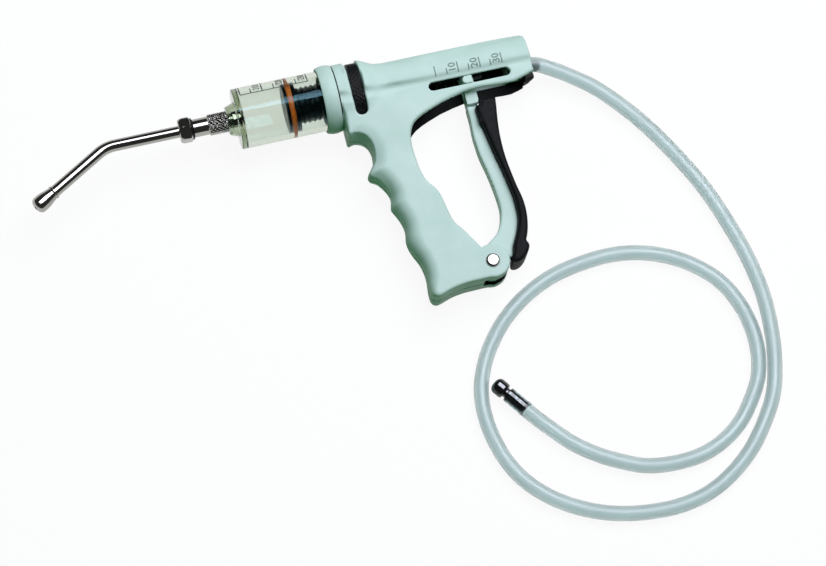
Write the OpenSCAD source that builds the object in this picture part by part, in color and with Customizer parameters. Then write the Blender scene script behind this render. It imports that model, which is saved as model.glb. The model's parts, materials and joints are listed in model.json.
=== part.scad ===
// Livestock drencher lying on its side: a pistol-grip dosing gun with a clear barrel, a dose wheel,
// a palm lever, a bent nozzle and a feed hose.
// The gun is drawn upright in its own axes, then laid on its collar, tail and pivot pin.
// Gun axes: X runs rearward along the barrel from the seam behind the collar, Y points up,
// Z points at the near side. Lengths are in millimetres.

/* [Body] */
// Length of the body behind the barrel collar
body_length = 118; // [112:1:126]
// Drop from the barrel axis to the toe of the grip
grip_drop = 136.3; // [128:0.1:142]
// Half the depth of the grip and lower body
half_depth = 12.5; // [12:0.5:14]
// Half the depth across the cheeks beside the dose wheel
cheek_half = 16.5; // [16:0.5:17.5]
// How far the head and the barrel flange stand proud of the barrel
head_step = 0.95; // [0.9:0.05:1.2]
// Length of the head before it flares down
head_length = 16; // [16:0.5:18]
// Radius of the tail
tail_r = 13.5; // [13:0.5:14.5]
// Thickness of the shell walls
shell_wall = 2.5; // [2:0.1:3]
// Rounding along the finger side of the grip
finger_round = 6.5; // [5:0.5:7.5]
// Radius of the ears round the lever pivot
ear_r = 10.4; // [10:0.1:11]

/* [Barrel] */
// Bore radius of the barrel
bore_r = 15.25; // [15:0.05:15.4]
// Wall thickness of the barrel
barrel_wall = 3; // [2.5:0.1:3.1]
// Distance from the collar seam to the front of the barrel
barrel_reach = 62; // [60:0.5:66]
// Thickness of the front wall of the barrel
barrel_end_t = 3.5; // [2.5:0.1:4.5]
// Radius of the boss on the front wall
boss_r = 10.4; // [9:0.1:11]
// Radius of the boss at its front edge
boss_tip_r = 8.5; // [7.5:0.1:9]
// Length of the boss
boss_length = 5.5; // [4:0.1:7]
// Thickness of the flange at the rear of the barrel
flange_t = 2.5; // [2:0.1:3]
// Thickness of the barrel seal
barrel_seal_t = 1; // [0.8:0.1:1.5]
// Length of the body spigot inside the collar
spigot_length = 3; // [2.5:0.1:3.5]
// Length of the barrel collar
collar_length = 10; // [9:0.1:12]
// Wall of the barrel collar at its crown
collar_wall = 1.6; // [1.4:0.1:2]

/* [Dose] */
// Dose that the wheel is set to, in millilitres
set_dose = 15; // [14:0.5:15]
// Largest dose, in millilitres
full_dose = 30; // [29:0.5:30]
// Space left in front of the piston at the end of its stroke
dead_length = 5.5; // [4:0.1:6]
// Length of the piston between its end faces
piston_length = 7.5; // [7.5:0.1:8.5]
// Cord diameter of the piston seal
seal_cord = 3.5; // [3.3:0.1:3.6]
// Outer radius of the dose sleeve
sleeve_r = 11; // [10.5:0.1:11.5]
// Pitch of the sleeve thread
thread_pitch = 3; // [2.5:0.1:3.5]
// Depth of the sleeve thread
thread_depth = 0.7; // [0.5:0.1:1]
// How far the dose wheel lies below the head
wheel_sink = 0.6; // [0.4:0.1:1]
// Front edge of the slot for the dose wheel
wheel_slot_x = 7.5; // [7:0.1:8]
// Width of the slot for the dose wheel
wheel_slot_w = 7.5; // [7:0.1:8]

/* [Rod] */
// Radius of the piston rod
rod_r = 4.5; // [4.3:0.1:4.8]
// Outer radius of the feed tube inside the rod
feed_r = 2.5; // [2.3:0.1:2.7]
// Bore radius of the feed tube
feed_bore_r = 1.5; // [1.2:0.1:1.7]
// Thickness of the bulkhead behind the sleeve
bulkhead_t = 3; // [2.5:0.1:3.5]
// Wire diameter of the return spring
spring_wire = 1.2; // [1:0.1:1.2]
// Mean radius of the return spring
spring_r = 7; // [6.8:0.1:7.4]
// Turns of the return spring
spring_turns = 5; // [4:1:5]
// Length of the crosshead along the rod
crosshead_length = 7.5; // [7:0.1:8]
// Drop from the rod axis to the underside of the crosshead
crosshead_drop = 23.2; // [22.8:0.1:23.4]
// Drop from the rod axis to the cross pin
cross_pin_drop = 19; // [18.5:0.1:19.2]
// Radius of the cross pin
cross_pin_r = 2; // [1.8:0.1:2.2]
// Height of the pointer slot
slot_height = 5.3; // [5:0.1:5.6]
// Width of the pointer
pointer_w = 6; // [5:0.1:6.5]

/* [Lever] */
// Radius of the pivot pin
pivot_pin_r = 3; // [2.8:0.1:3.2]
// Radius of the head of the pivot pin
pivot_head_r = 4.2; // [4:0.1:5]
// Half the width of the lever
lever_half = 5; // [4.5:0.1:5.5]
// Half the width of the tongue in the crosshead fork
tongue_half = 2.75; // [2.5:0.05:3]
// Half the width of the palm pad
pad_half = 11; // [10.5:0.1:11.4]
// Half the width of the crosshead
crosshead_half = 6; // [5.6:0.1:6.4]

/* [Nozzle] */
// Length of the knurled part of the outlet valve body
knurl_length = 11.5; // [10:0.1:13]
// Radius of the knurled part
knurl_r = 6.5; // [6.2:0.1:7]
// Length of the plain neck of the outlet valve body
neck_length = 9.5; // [9:0.1:11]
// Radius of the plain neck
neck_r = 5.5; // [5.3:0.1:6]
// Thickness of the nozzle washer
washer_t = 1; // [0.8:0.1:1.2]
// Width of the nozzle nut across its flats
nut_flats = 13.8; // [13:0.1:15]
// Length of the nozzle nut
nut_length = 7.5; // [7:0.1:9]
// Outer radius of the nozzle tube
tube_r = 3.6; // [3.4:0.1:3.8]
// Bore radius of the nozzle tube
tube_bore_r = 2.6; // [2.4:0.1:2.8]
// Length from the nut to the corner of the bend
nozzle_straight = 44.5; // [40:0.1:55]
// Length from the corner of the bend to the end of the tip
nozzle_leg = 55.5; // [50:0.5:65]
// Angle of the bend
nozzle_bend = 30; // [20:0.5:35]
// Radius of the bend
nozzle_bend_r = 20; // [16:0.5:24]
// Length of the nozzle tip
tip_length = 15; // [13:0.1:17]
// Largest radius of the nozzle tip
tip_r = 5.2; // [4.8:0.1:5.4]

/* [Hose] */
// Outer radius of the hose
hose_r = 4.5; // [4.3:0.1:4.6]
// Bore radius of the hose
hose_bore_r = 3; // [2.9:0.1:3.1]
// Downward angle at which the hose leaves the tail
hose_angle = 20; // [18:0.5:22]
// Length of the connector nose
nose_length = 11.5; // [10:0.1:12]
// Radius of the connector nose
nose_r = 5; // [4.6:0.1:5.2]
// Length of the barbed tails inside the hose
barb_length = 13; // [12:0.1:14]

/* [Hidden] */
$fn = 72;

// Clearances and the overrun of every cut
run_gap = 0.05;
slide_gap = 0.3;
seat_gap = 0.02;
touch_gap = 0.1;
over = 1;

// Colours
sea_green = "#b9d9cf";
black_plastic = "#1c1e20";
bright_metal = "#d4d7d9";
dark_metal = "#4a4d50";
orange_rubber = "#d8692c";
clear_plastic = "#dfe6e2";
brass = "#c9a64f";

// Outline of the grip and lower body, from the front of the head round to the top of the tail.
// Each row holds two shares of body_length and grip_drop, and two inset shares of finger_round.
front_shares = [[0, 0, 0.1, -0.05]];
finger_shares = [
    [0, -0.209, 0.1, 1], [0.034, -0.212, 0.2, 1], [0.068, -0.223, 0.5, 0.9], [0.093, -0.246, 0.8, 0.6],
    [0.106, -0.277, 0.95, 0.2], [0.108, -0.307, 1, 0], [0.102, -0.339, 1, -0.2],
    [0.085, -0.362, 1, -0.3], [0.068, -0.381, 1.1, -0.15], [0.064, -0.393, 1.2, 0],
    [0.076, -0.404, 1.1, 0.15], [0.102, -0.416, 1, 0.3], [0.127, -0.443, 1, 0.25],
    [0.148, -0.477, 1, 0.1], [0.155, -0.507, 1, 0], [0.148, -0.539, 1.1, 0], [0.146, -0.554, 1.15, 0],
    [0.161, -0.581, 1.05, 0.1], [0.178, -0.616, 1, 0.1], [0.188, -0.654, 1, 0], [0.186, -0.681, 1, 0],
    [0.181, -0.707, 1.1, 0], [0.186, -0.739, 1.05, 0.05], [0.203, -0.777, 1, 0.1],
    [0.225, -0.816, 0.95, 0.1], [0.237, -0.854, 0.9, 0.05], [0.242, -0.893, 0.9, 0],
    [0.24, -0.946, 0.8, 0.1], [0.245, -0.979, 0.6, 0.2], [0.261, -0.995, 0.4, 0.35]
];
bottom_shares = [
    [0.288, -0.997, 0.1, 0.4], [0.356, -0.978, 0, 0.4], [0.424, -0.969, 0, 0.4],
    [0.508, -0.967, 0, 0.35]
];
rear_shares = [
    [0.536, -0.824, -0.2, -0.15], [0.511, -0.788, -0.2, -0.12], [0.46, -0.719, -0.2, -0.1],
    [0.435, -0.692, -0.22, -0.08], [0.418, -0.649, -0.25, -0.05], [0.397, -0.565, -0.25, -0.05],
    [0.38, -0.526, -0.25, -0.1], [0.342, -0.48, -0.25, -0.1], [0.325, -0.442, -0.25, 0],
    [0.312, -0.388, -0.25, 0], [0.303, -0.328, -0.25, 0], [0.302, -0.299, -0.25, 0],
    [0.305, -0.269, -0.22, 0.05], [0.315, -0.238, -0.2, 0.12], [0.332, -0.215, -0.15, 0.15],
    [0.358, -0.196, -0.1, 0.2], [0.392, -0.18, -0.1, 0.2], [0.434, -0.165, -0.05, 0.2],
    [0.502, -0.144, 0, 0.2], [0.569, -0.13, 0, 0.2], [0.637, -0.119, 0, 0.2], [0.705, -0.116, 0, 0.2],
    [0.773, -0.119, 0, 0.2], [0.841, -0.122, 0, 0.2], [0.883, -0.122, 0, 0.2], [0.925, -0.113, 0, 0.2],
    [0.968, -0.101, 0, 0.2]
];
tail_shares = [[1, -0.091, -0.25, 0.15], [1, 0, -0.2, -0.05]];

// Lever outline in shares of the arm from pivot to cross pin: rearward, then along the arm
lever_front_shares = [
    [-0.036, 0.948], [-0.024, 0.864], [-0.018, 0.785], [-0.007, 0.715], [0.008, 0.645], [0.033, 0.567],
    [0.053, 0.498], [0.072, 0.418], [0.085, 0.349], [0.088, 0.309], [0.082, 0.258], [0.07, 0.217],
    [0.049, 0.175], [0.022, 0.147], [-0.015, 0.114], [-0.06, 0.06]
];
lever_back_shares = [
    [0.1, 0.03], [0.118, 0.03], [0.128, 0.045], [0.134, 0.09], [0.154, 0.143], [0.17, 0.194],
    [0.18, 0.255], [0.176, 0.325], [0.164, 0.395], [0.143, 0.474], [0.117, 0.563], [0.091, 0.641],
    [0.065, 0.73], [0.045, 0.799], [0.025, 0.868], [0.014, 0.918], [0.014, 0.934]
];
spur_shares = [[0.04, 0.938], [0.038, 0.948]];
pad_shares = [
    [0.133, 0.981], [0.133, 0.927], [0.131, 0.846], [0.132, 0.766], [0.14, 0.676], [0.153, 0.596],
    [0.172, 0.517], [0.193, 0.438], [0.215, 0.369], [0.227, 0.31], [0.231, 0.25], [0.227, 0.189],
    [0.218, 0.142], [0.209, 0.112], [0.219, 0.092], [0.223, 0.075], [0.213, 0.046], [0.19, 0.012],
    [0.162, -0.009], [0.136, -0.015], [0.118, -0.008]
];
pad_heel_shares = [[0.116, 0.006], [0.12, 0.018]];
pad_top_share = 0.974;
spur_lip_share = 0.004;

// Pockets that lighten the grip, in shares of body_length and grip_drop
pocket_shares = [
    [[0.2, -0.21], [0.27, -0.21], [0.27, -0.35], [0.2, -0.35]],
    [[0.22, -0.49], [0.29, -0.49], [0.35, -0.6], [0.37, -0.7], [0.25, -0.7]],
    [[0.3, -0.83], [0.44, -0.83], [0.46, -0.93], [0.3, -0.93]]
];
screw_shares = [[0.215, -0.168], [0.26, -0.425], [0.32, -0.775]];

// Forward lean of the grip, for each millimetre that a point lies below the start of the lean
grip_lean = 0.034;
lean_start = 24;
function leaned(y) = grip_lean * min(0, y + lean_start);
function body_point(s) = [s[0] * body_length + leaned(s[1] * grip_drop), s[1] * grip_drop];

// Places along the barrel
barrel_r = bore_r + barrel_wall;
head_r = barrel_r + head_step;
collar_r = head_r + collar_wall;
collar_bore_r = head_r + touch_gap;
collar_edge_share = 0.75;
collar_edge_r = head_r + collar_wall * collar_edge_share;
collar_bevel_share = 0.15;
collar_bevel = collar_length * collar_bevel_share;
collar_front_r = barrel_r + collar_wall;
seal_front = -spigot_length - barrel_seal_t;
flange_front = seal_front - flange_t;
bore_front = barrel_end_t - barrel_reach;
boss_front = -barrel_reach - boss_length;
barrel_seal_step = 0.3;

// Volume to length, strokes and the resting places that follow from the set dose
ml_volume = 1000;
ml_length = ml_volume / (PI * bore_r * bore_r);
stroke = set_dose * ml_length;
full_stroke = full_dose * ml_length;
sleeve_travel = full_stroke - stroke;
piston_front = bore_front + dead_length + stroke;
piston_rear = piston_front + piston_length;
sleeve_front = piston_rear + touch_gap;
key_stand = 1.63;
key_length = 3.5;
key_x = wheel_slot_x + wheel_slot_w + key_stand;
sleeve_rear = key_x + key_length;
sleeve_length = sleeve_rear - sleeve_front;
sleeve_end_gap = 1.3;
bulkhead_x = sleeve_rear + sleeve_travel + sleeve_end_gap;
slot_spare = 3;
slot_length = slide_gap + full_stroke + pointer_w + slot_spare;
slot_drop = 9.4;
slot_front_share = 0.455;
slot_front = body_length * slot_front_share;
crosshead_x = slot_front + slide_gap + stroke;
cross_pin_x = crosshead_x + crosshead_length / 2;
rod_overhang = 2;
rod_rear = crosshead_x + crosshead_length + rod_overhang;

// Piston, its valve and the hub that takes the rod
piston_gap = 0.35;
piston_r = bore_r - piston_gap;
seal_lip_share = 0.23;
seal_front_x = piston_front + piston_length * seal_lip_share;
seal_squeeze = 0.03;
hub_r = 7;
hub_length = 8;
valve_chamber_r = 6;
valve_chamber_length = 5.3;
valve_seat_x = piston_front + valve_chamber_length;
valve_port_r = 2;
rod_socket = 0.5;
rod_front = piston_rear - rod_socket;
rod_bore_r = feed_r + run_gap;
disc_r = 4.2;
disc_t = 1.5;
retainer_t = 1.2;
retainer_hole_r = 1.4;
retainer_holes = 5;
retainer_ring_r = 3.6;
inlet_wire = 0.4;
inlet_spring_r = 3;
inlet_turns = 2;

// Sleeve, wheel and key
thread_shares = [[0, 0], [0.3, 0], [0.45, 1], [0.75, 1], [0.9, 0]];
hub_recess_gap = 0.4;
sleeve_bore_gap = 0.5;
sleeve_bore_r = rod_r + sleeve_bore_gap;
tunnel_gap = 0.5;
tunnel_r = sleeve_r + tunnel_gap;
wheel_gap = 0.4;
wheel_chamfer = 0.8;
wheel_r = head_r - wheel_sink;
window_end = 14.2;
key_w = 3;
key_depth = 2;
key_foot = 2.5;
key_slot_spare = 2;

// Bulkhead bush, spring seats and rear tunnel
bush_r = 8;
bush_flange_t = 1;
spring_front = bulkhead_x + bulkhead_t + bush_flange_t;
spring_ends = spring_wire / 2 + seat_gap;
rear_tunnel_gap = 0.5;
rear_tunnel_r = tail_r - shell_wall - rear_tunnel_gap;
bush_flange_gap = 1;
bush_flange_r = rear_tunnel_r - bush_flange_gap;
crosshead_r = 8;
fork_gap = 0.25;
fork_top = 12;
tongue_root = 0.5;
tongue_over = 5;
tongue_half_w = 3.4;
pin_slide = 0.15;
pin_slot_half = 1.1;
pin_blind = 1.2;
tongue_side_gap = 0.25;
pointer_recess = 0.3;

// Inlet elbow, its seat and the way out for the hose
elbow_seat_back = 14;
elbow_seat_t = 5;
elbow_x = body_length - elbow_seat_back;
elbow_r = 6.5;
elbow_flange_r = 8.5;
elbow_flange_t = 1.5;
elbow_over = 1;
feed_front = 50;
elbow_turn = 2;
tail_x = elbow_x + elbow_turn;
rear_wall = 4;
hose_hole_gap = 0.5;
hose_start = 6;
barb_start = 4;
barb_bite = 0.15;
barb_r = hose_bore_r + barb_bite;
barb_relief = 0.4;
barb_root_r = hose_bore_r - barb_relief;
barb_shares = [[0, 0], [0.05, 1], [0.95, 0]];
barbs = 4;
gland_r = 6.5;
gland_length = 6;
gland_wall = 2;
rod_seal_length = 2;
rod_seal_r = 4;

// Lever pivot and arm
pivot_x_share = 0.577;
pivot_y_share = 0.895;
pivot_drop = grip_drop * pivot_y_share;
pivot_x = body_length * pivot_x_share + leaned(-pivot_drop);
arm_run = cross_pin_x - pivot_x;
arm_rise = pivot_drop - cross_pin_drop;
lever_arm = norm([arm_run, arm_rise]);
arm_lean = atan2(arm_run, arm_rise);
eye_inset = 2;
eye_r = ear_r - eye_inset;
eye_slot_gap = 0.2;
eye_slot_r = ear_r + over;
bush_wall = 1.4;
lever_bush_r = pivot_pin_r + run_gap + bush_wall;
pivot_head_t = 1.6;
pivot_ring_t = 1;
pivot_ring_r = 4.6;
pivot_tail = 0.8;
pin_end = half_depth + pivot_ring_t + pivot_tail;
shoulder_gap = 1.2;

// Channel that opens the underside, and the shell screws
channel_half = half_depth - shell_wall;
channel_front_share = 0.326;
channel_front = body_length * channel_front_share;
channel_depth_share = 0.32;
channel_depth = grip_drop * channel_depth_share;
channel_step = 11;
channel_back = 5;
liner_t = 0.8;
liner_lip = 1;
screw_r = 1.5;
screw_head_r = 3;
screw_head_t = 2;
screw_sink = 7;
screw_reach = 7;
tail_screw_y = 9.2;
tail_screw_sink = 6.5;
cheek_front = 4.5;
cheek_slope = 6;
cheek_top = 9;
cheek_bottom = 17;

// Outlet valve and nozzle
knurl_front = boss_front - knurl_length;
neck_front = knurl_front - neck_length;
nut_rear = neck_front - washer_t;
nut_front = nut_rear - nut_length;
stub_r = 5;
stub_length = boss_length + barrel_end_t - touch_gap;
chamber_r = 3.4;
outlet_seat_back = 2.5;
outlet_seat_x = boss_front - outlet_seat_back;
outlet_port_r = 2;
ball_r = 2.8;
ball_x = outlet_seat_x - sqrt(ball_r * ball_r - outlet_port_r * outlet_port_r) - touch_gap;
nut_stub_r = 4;
nut_stub_length = 6;
nut_socket = 6;
nut_corner_share = 0.6;
nut_corner_r = nut_flats * nut_corner_share;
nut_chamfer = 1;
outlet_wire = 0.5;
outlet_spring_r = 2.2;
outlet_turns = 6;
outlet_spring_rear = ball_x - sqrt(ball_r * ball_r - outlet_spring_r * outlet_spring_r) - outlet_wire / 2;
washer_over = 1;
bend_x = nut_front - nozzle_straight;
bend_tangent = nozzle_bend_r * tan(nozzle_bend / 2);
tip_socket = 6;
bend_steps = 8;
tube_sides = 24;
tube_end = nozzle_leg - tip_length + tip_socket;
tip_hole_r = 1.6;
tip_rim = 0.6;
tip_lip = 0.2;
tip_shares = [[0.3, 0.85], [0.62, 1], [0.82, 1], [0.95, 0.76]];

// How the gun lies: collar, tail and the end of the pivot pin touch the floor
collar_mid = -collar_length / 2;
tail_round = 2;
tail_mid = body_length - tail_round;
lay_pitch = atan2(collar_r - tail_r, tail_mid - collar_mid);
seam_height = collar_r * cos(lay_pitch) + collar_mid * sin(lay_pitch);
pivot_reach = pivot_drop + pivot_pin_r;
pivot_height = (seam_height - pivot_x * sin(lay_pitch)) / cos(lay_pitch);
lay_tilt = asin(pivot_height / norm([pivot_reach, pin_end])) - atan2(pin_end, pivot_reach);
tip_end_x = bend_x - nozzle_leg * cos(nozzle_bend);
elbow_end_x = tail_x + (hose_start + over / 2 + barb_length) * cos(hose_angle);
mid_x = (tip_end_x + elbow_end_x) / 2;
mid_y = (collar_r - grip_drop) / 2;

// Hose route on the floor, measured from the point under the collar seam, as [x, y, height]
route = [
    [140, -16, 10], [156, -29, 7.5], [174, -51, 5.5], [189, -76, 4.6], [202, -104, 4.6],
    [211, -133, 4.6], [216, -156, 4.6], [218, -178, 4.6], [216.5, -201, 4.6], [213, -219, 4.6],
    [207.5, -235, 4.6], [198, -250, 4.6], [186, -264, 4.6], [172, -275, 4.6], [156, -283, 4.6],
    [139, -286.5, 4.6], [123, -286.5, 4.6], [106, -284, 4.6], [90, -279, 4.6], [74.5, -271, 4.6],
    [61, -260.5, 4.6], [50, -247, 4.6], [43, -231, 4.6], [39.5, -212, 4.6], [40.5, -194, 4.6],
    [45.5, -179.5, 4.6], [53, -167, 4.6], [64.5, -154, 4.6], [79.5, -143, 4.6], [97, -135, 4.6],
    [116, -131, 4.6], [136, -130, 4.6], [154, -133, 4.6], [171, -140, 4.6], [185, -150, 4.6],
    [196, -162.5, 4.6], [203, -178, 4.6], [206, -194, 4.6], [205.5, -209, 4.6], [202, -222, 4.6],
    [196, -232.5, 4.6], [186, -245, 4.6], [174, -254, 4.6], [161, -259.5, 4.6], [148, -261.5, 4.6],
    [134, -261, 4.6], [122, -258.5, 4.6], [110, -253, 4.6], [98, -246, 4.6], [86, -236.5, 4.6],
    [76.5, -226, 4.6], [68, -215.5, 4.7], [60.5, -205, 5], [56.2, -199, 5.2]
];
hose_sides = 10;

// Profile of the connector nose in shares of its length and radius
nose_shares = [
    [0, 0.9], [0.1, 0.9], [0.12, 0.62], [0.26, 0.62], [0.28, 0.92], [0.4, 1],
    [0.75, 1], [0.9, 0.86], [1, 0.5]
];

// Curves and sweeps
function curve(a, b, c, d, t) =
    (2 * b + (c - a) * t + (2 * a - 5 * b + 4 * c - d) * t * t + (3 * b - a - 3 * c + d) * t * t * t) / 2;
function spline(p, n) = [
    for (i = [0 : len(p) - 2], k = [0 : n - 1])
        curve(p[max(i - 1, 0)], p[i], p[i + 1], p[min(i + 2, len(p) - 1)], k / n),
    p[len(p) - 1]
];
function unit(v) = v / norm(v);
function tangent(p, i) = unit(p[min(i + 1, len(p) - 1)] - p[max(i - 1, 0)]);

// Ring of points round a path point, with one axis kept level
function path_ring(p, i, r, sides) =
    let (t = tangent(p, i), side = unit(cross([0, 0, 1], t)), rise = cross(t, side))
    [for (k = [0 : sides - 1]) p[i] + r * (cos(360 * k / sides) * side + sin(360 * k / sides) * rise)];

// Wall faces between ring a and ring b of n points each
function band(a, b, n) = [
    for (k = [0 : n - 1]) each [
        [a + k, b + k, b + (k + 1) % n],
        [a + k, b + (k + 1) % n, a + (k + 1) % n]
    ]
];

// Points of a spring along X, with a fixed number of rings in each curl
curl_rings = 8;
wire_sides = 6;
function helix_points(x0, x1, r, turns) = [
    for (i = [0 : curl_rings * turns])
        let (a = 360 * i / curl_rings)
        [x0 + (x1 - x0) * i / (curl_rings * turns), r * cos(a), r * sin(a)]
];

// Least gap between the wires of neighbouring curls, measured on the points
function least_gap(path, wire) = min([
    for (i = [0 : len(path) - 1 - curl_rings / 2], k = [i + curl_rings / 2 : len(path) - 1])
        norm(path[k] - path[i]) - wire
]);

// Tube with a bore: outer rings first, then inner rings, closed by two flat ends
module swept_hose(path, r, bore, sides) {
    n = len(path);
    points = concat(
        [for (i = [0 : n - 1]) each path_ring(path, i, r, sides)],
        [for (i = [0 : n - 1]) each path_ring(path, i, bore, sides)]
    );
    inner = n * sides;
    last = (n - 1) * sides;
    faces = concat(
        [for (i = [0 : n - 2]) each band(i * sides, (i + 1) * sides, sides)],
        [for (i = [0 : n - 2]) each band(inner + (i + 1) * sides, inner + i * sides, sides)],
        band(inner, 0, sides),
        band(last, inner + last, sides)
    );
    polyhedron(points, faces);
}

// Coil spring whose wire ring is kept square to the helix
module coil(x0, x1, r, wire, turns) {
    path = helix_points(x0, x1, r, turns);
    sides = wire_sides;
    rings = [
        for (i = [0 : len(path) - 1])
            let (
                a = 360 * i / curl_rings, out = [0, cos(a), sin(a)], flank = cross(tangent(path, i), out)
            )
            each [
                for (k = [0 : sides - 1])
                    path[i] + wire / 2 * (cos(360 * k / sides) * out + sin(360 * k / sides) * flank)
            ]
    ];
    last = (len(path) - 1) * sides;
    faces = concat(
        [for (i = [0 : len(path) - 2]) each band(i * sides, (i + 1) * sides, sides)],
        [[for (k = [0 : sides - 1]) k]],
        [[for (k = [sides - 1 : -1 : 0]) last + k]]
    );
    polyhedron(rings, faces);
}

// Solids along the barrel axis
module rod_x(x0, x1, r) {
    translate([x0, 0, 0]) rotate([0, 90, 0]) cylinder(h = x1 - x0, r = r);
}

module ring_x(x0, x1, r, bore) {
    difference() {
        rod_x(x0, x1, r);
        rod_x(x0 - over, x1 + over, bore);
    }
}

// Solid of revolution about the barrel axis from [x, radius] points
module lathe_x(points) {
    rotate([0, 90, 0]) rotate_extrude() polygon([for (p = points) [p[1], p[0]]]);
}

// Cylinder across the gun at [x, y], between two depths
module across(p, z0, z1, r) {
    translate([p[0], p[1], z0]) cylinder(h = z1 - z0, r = r);
}

// Lays the upright gun on its side on the floor
module lay() {
    translate([-mid_x, -mid_y, seam_height]) rotate([lay_tilt, lay_pitch, 0]) children();
}

// Draws children in the frame of the lever: arm along Y, origin on the pivot
module at_lever() {
    translate([pivot_x, -pivot_drop, 0]) rotate([0, 0, -arm_lean]) children();
}

// Draws children along the second leg of the nozzle, which runs along X from the bend corner
module at_leg() {
    translate([bend_x, 0, 0]) rotate([0, 0, 180 + nozzle_bend]) children();
}

// Draws children along the tail of the elbow, which runs along X
module at_tail() {
    translate([tail_x, 0, 0]) rotate([0, 0, -hose_angle]) children();
}

// Outline of the body in millimetres with its inset, with the ear drawn as an arc
function rim_point(s) = [
    body_point(s)[0], body_point(s)[1], s[2] * finger_round, s[3] * finger_round
];
ear_inset_share = 0.2;
ear_steps = 12;
ear_from = -110;
ear_to = 120;
function ear_point(a) = [
    pivot_x + ear_r * cos(a), -pivot_drop + ear_r * sin(a),
    -ear_inset_share * finger_round * cos(a), -ear_inset_share * finger_round * sin(a)
];
function body_rim() = concat(
    [for (s = front_shares) rim_point(s)],
    spline([for (s = concat(finger_shares, bottom_shares)) rim_point(s)], 2),
    [for (k = [0 : ear_steps]) ear_point(ear_from + (ear_to - ear_from) * k / ear_steps)],
    [for (s = rear_shares) rim_point(s)],
    [for (s = tail_shares) rim_point(s)]
);

// Half of the grip and lower body, as layers that step in along a rounded edge
round_steps = 4;
round_depth_share = 0.6;
module slab_half() {
    rim = body_rim();
    for (j = [0 : round_steps]) {
        inset = 1 - cos(90 * j / (round_steps + 1));
        drop = finger_round * round_depth_share * (1 - sin(90 * (j + 1) / (round_steps + 1)));
        linear_extrude(half_depth - drop)
            polygon([for (p = rim) [p[0] + p[2] * inset, p[1] + p[3] * inset]]);
    }
}

// Head and tail as one turned form
flare_shares = [[0.13, 0.86], [0.35, 0.5], [0.6, 0.16], [1, 0.02]];
flare_length = 14;
tail_steps = 4;
module spine() {
    lathe_x(concat(
        [[-spigot_length, 0], [-spigot_length, head_r], [head_length, head_r]],
        [for (s = flare_shares) [head_length + s[0] * flare_length, tail_r + s[1] * (head_r - tail_r)]],
        [
            for (k = [0 : tail_steps])
                let (a = 90 * k / tail_steps)
                [body_length - tail_round * (1 - sin(a)), tail_r - tail_round * (1 - cos(a))]
        ],
        [[body_length, 0]]
    ));
}

// Flat cheek beside the dose wheel, sloping down to the grip
module cheek() {
    hull() {
        translate([cheek_front, -cheek_bottom - cheek_slope / 2, 0])
            cube([head_length + cheek_slope, cheek_top + cheek_bottom + cheek_slope / 2, half_depth]);
        translate([cheek_front, -cheek_bottom, 0])
            cube([head_length - cheek_front, cheek_top + cheek_bottom, cheek_half]);
    }
}

module half_space() {
    translate([-body_length, -2 * grip_drop, 0])
        cube([3 * body_length, 3 * grip_drop, 2 * head_r]);
}

// Outer form of one shell, on the side of positive depth
module shell_form() {
    intersection() {
        difference() {
            spine();
            translate([cheek_front, -head_r - over, cheek_half])
                cube([head_length - cheek_front, 2 * (head_r + over), head_r]);
        }
        half_space();
    }
    slab_half();
    cheek();
}

// Stadium along X, cut across the gun
module slot_across(x0, length, y, height, z0, z1) {
    r = height / 2;
    across([x0 + r, y], z0, z1, r);
    across([x0 + length - r, y], z0, z1, r);
    translate([x0 + r, y - r, z0]) cube([length - height, height, z1 - z0]);
}

// Everything that is hollow inside a shell; only the near one has the pointer slot
module shell_hollow(slotted) {
    wheel_mid = wheel_slot_x + wheel_slot_w / 2;
    rod_x(-spigot_length - over, bulkhead_x, tunnel_r);
    rod_x(wheel_slot_x, wheel_slot_x + wheel_slot_w, wheel_r + wheel_gap);
    across([wheel_mid, -window_end], -over, head_r + over, wheel_slot_w / 2);
    translate([wheel_slot_x, -window_end, -over])
        cube([wheel_slot_w, window_end + head_r + over, head_r + 2 * over]);
    translate([key_x, -tunnel_r - key_foot, -key_w / 2]) cube([key_length, tunnel_r, key_w]);
    rod_x(bulkhead_x - over, bulkhead_x + bulkhead_t + over, bush_r + seat_gap);
    rod_x(bulkhead_x + bulkhead_t, elbow_x, rear_tunnel_r);
    if (slotted) slot_across(slot_front, slot_length, -slot_drop, slot_height, 0, tail_r + over);
    translate([channel_front, -channel_depth, -over])
        cube([elbow_x - elbow_flange_t - channel_front, channel_depth, channel_half + over]);
    translate([elbow_x - 2 * elbow_flange_t, -channel_depth, -over])
        cube([
            body_length - channel_back - elbow_x + 2 * elbow_flange_t, channel_depth - channel_step,
            channel_half + over
        ]);
    for (p = pocket_shares)
        translate([0, 0, -over])
            linear_extrude(channel_half + over)
                polygon([for (s = p) body_point(s)]);
    across([pivot_x, -pivot_drop], -over, lever_half + eye_slot_gap, eye_slot_r);
    across([pivot_x, -pivot_drop], -over, half_depth + over, pivot_pin_r + seat_gap);
    rod_x(elbow_x - over, elbow_x + elbow_seat_t + over, elbow_r + seat_gap);
    rod_x(elbow_x + elbow_seat_t, body_length - rear_wall, rear_tunnel_r);
    at_tail() rod_x(0, rear_wall + elbow_seat_back, hose_r + hose_hole_gap);
}

function screw_places() = concat(
    [for (s = screw_shares) concat(body_point(s), [screw_sink])],
    [[elbow_x + elbow_seat_t / 2, tail_screw_y, tail_screw_sink]]
);

module near_shell() {
    color(sea_green) lay() difference() {
        shell_form();
        shell_hollow(true);
        for (p = screw_places()) across(p, -over, screw_reach + seat_gap, screw_r + seat_gap);
    }
}

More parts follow.
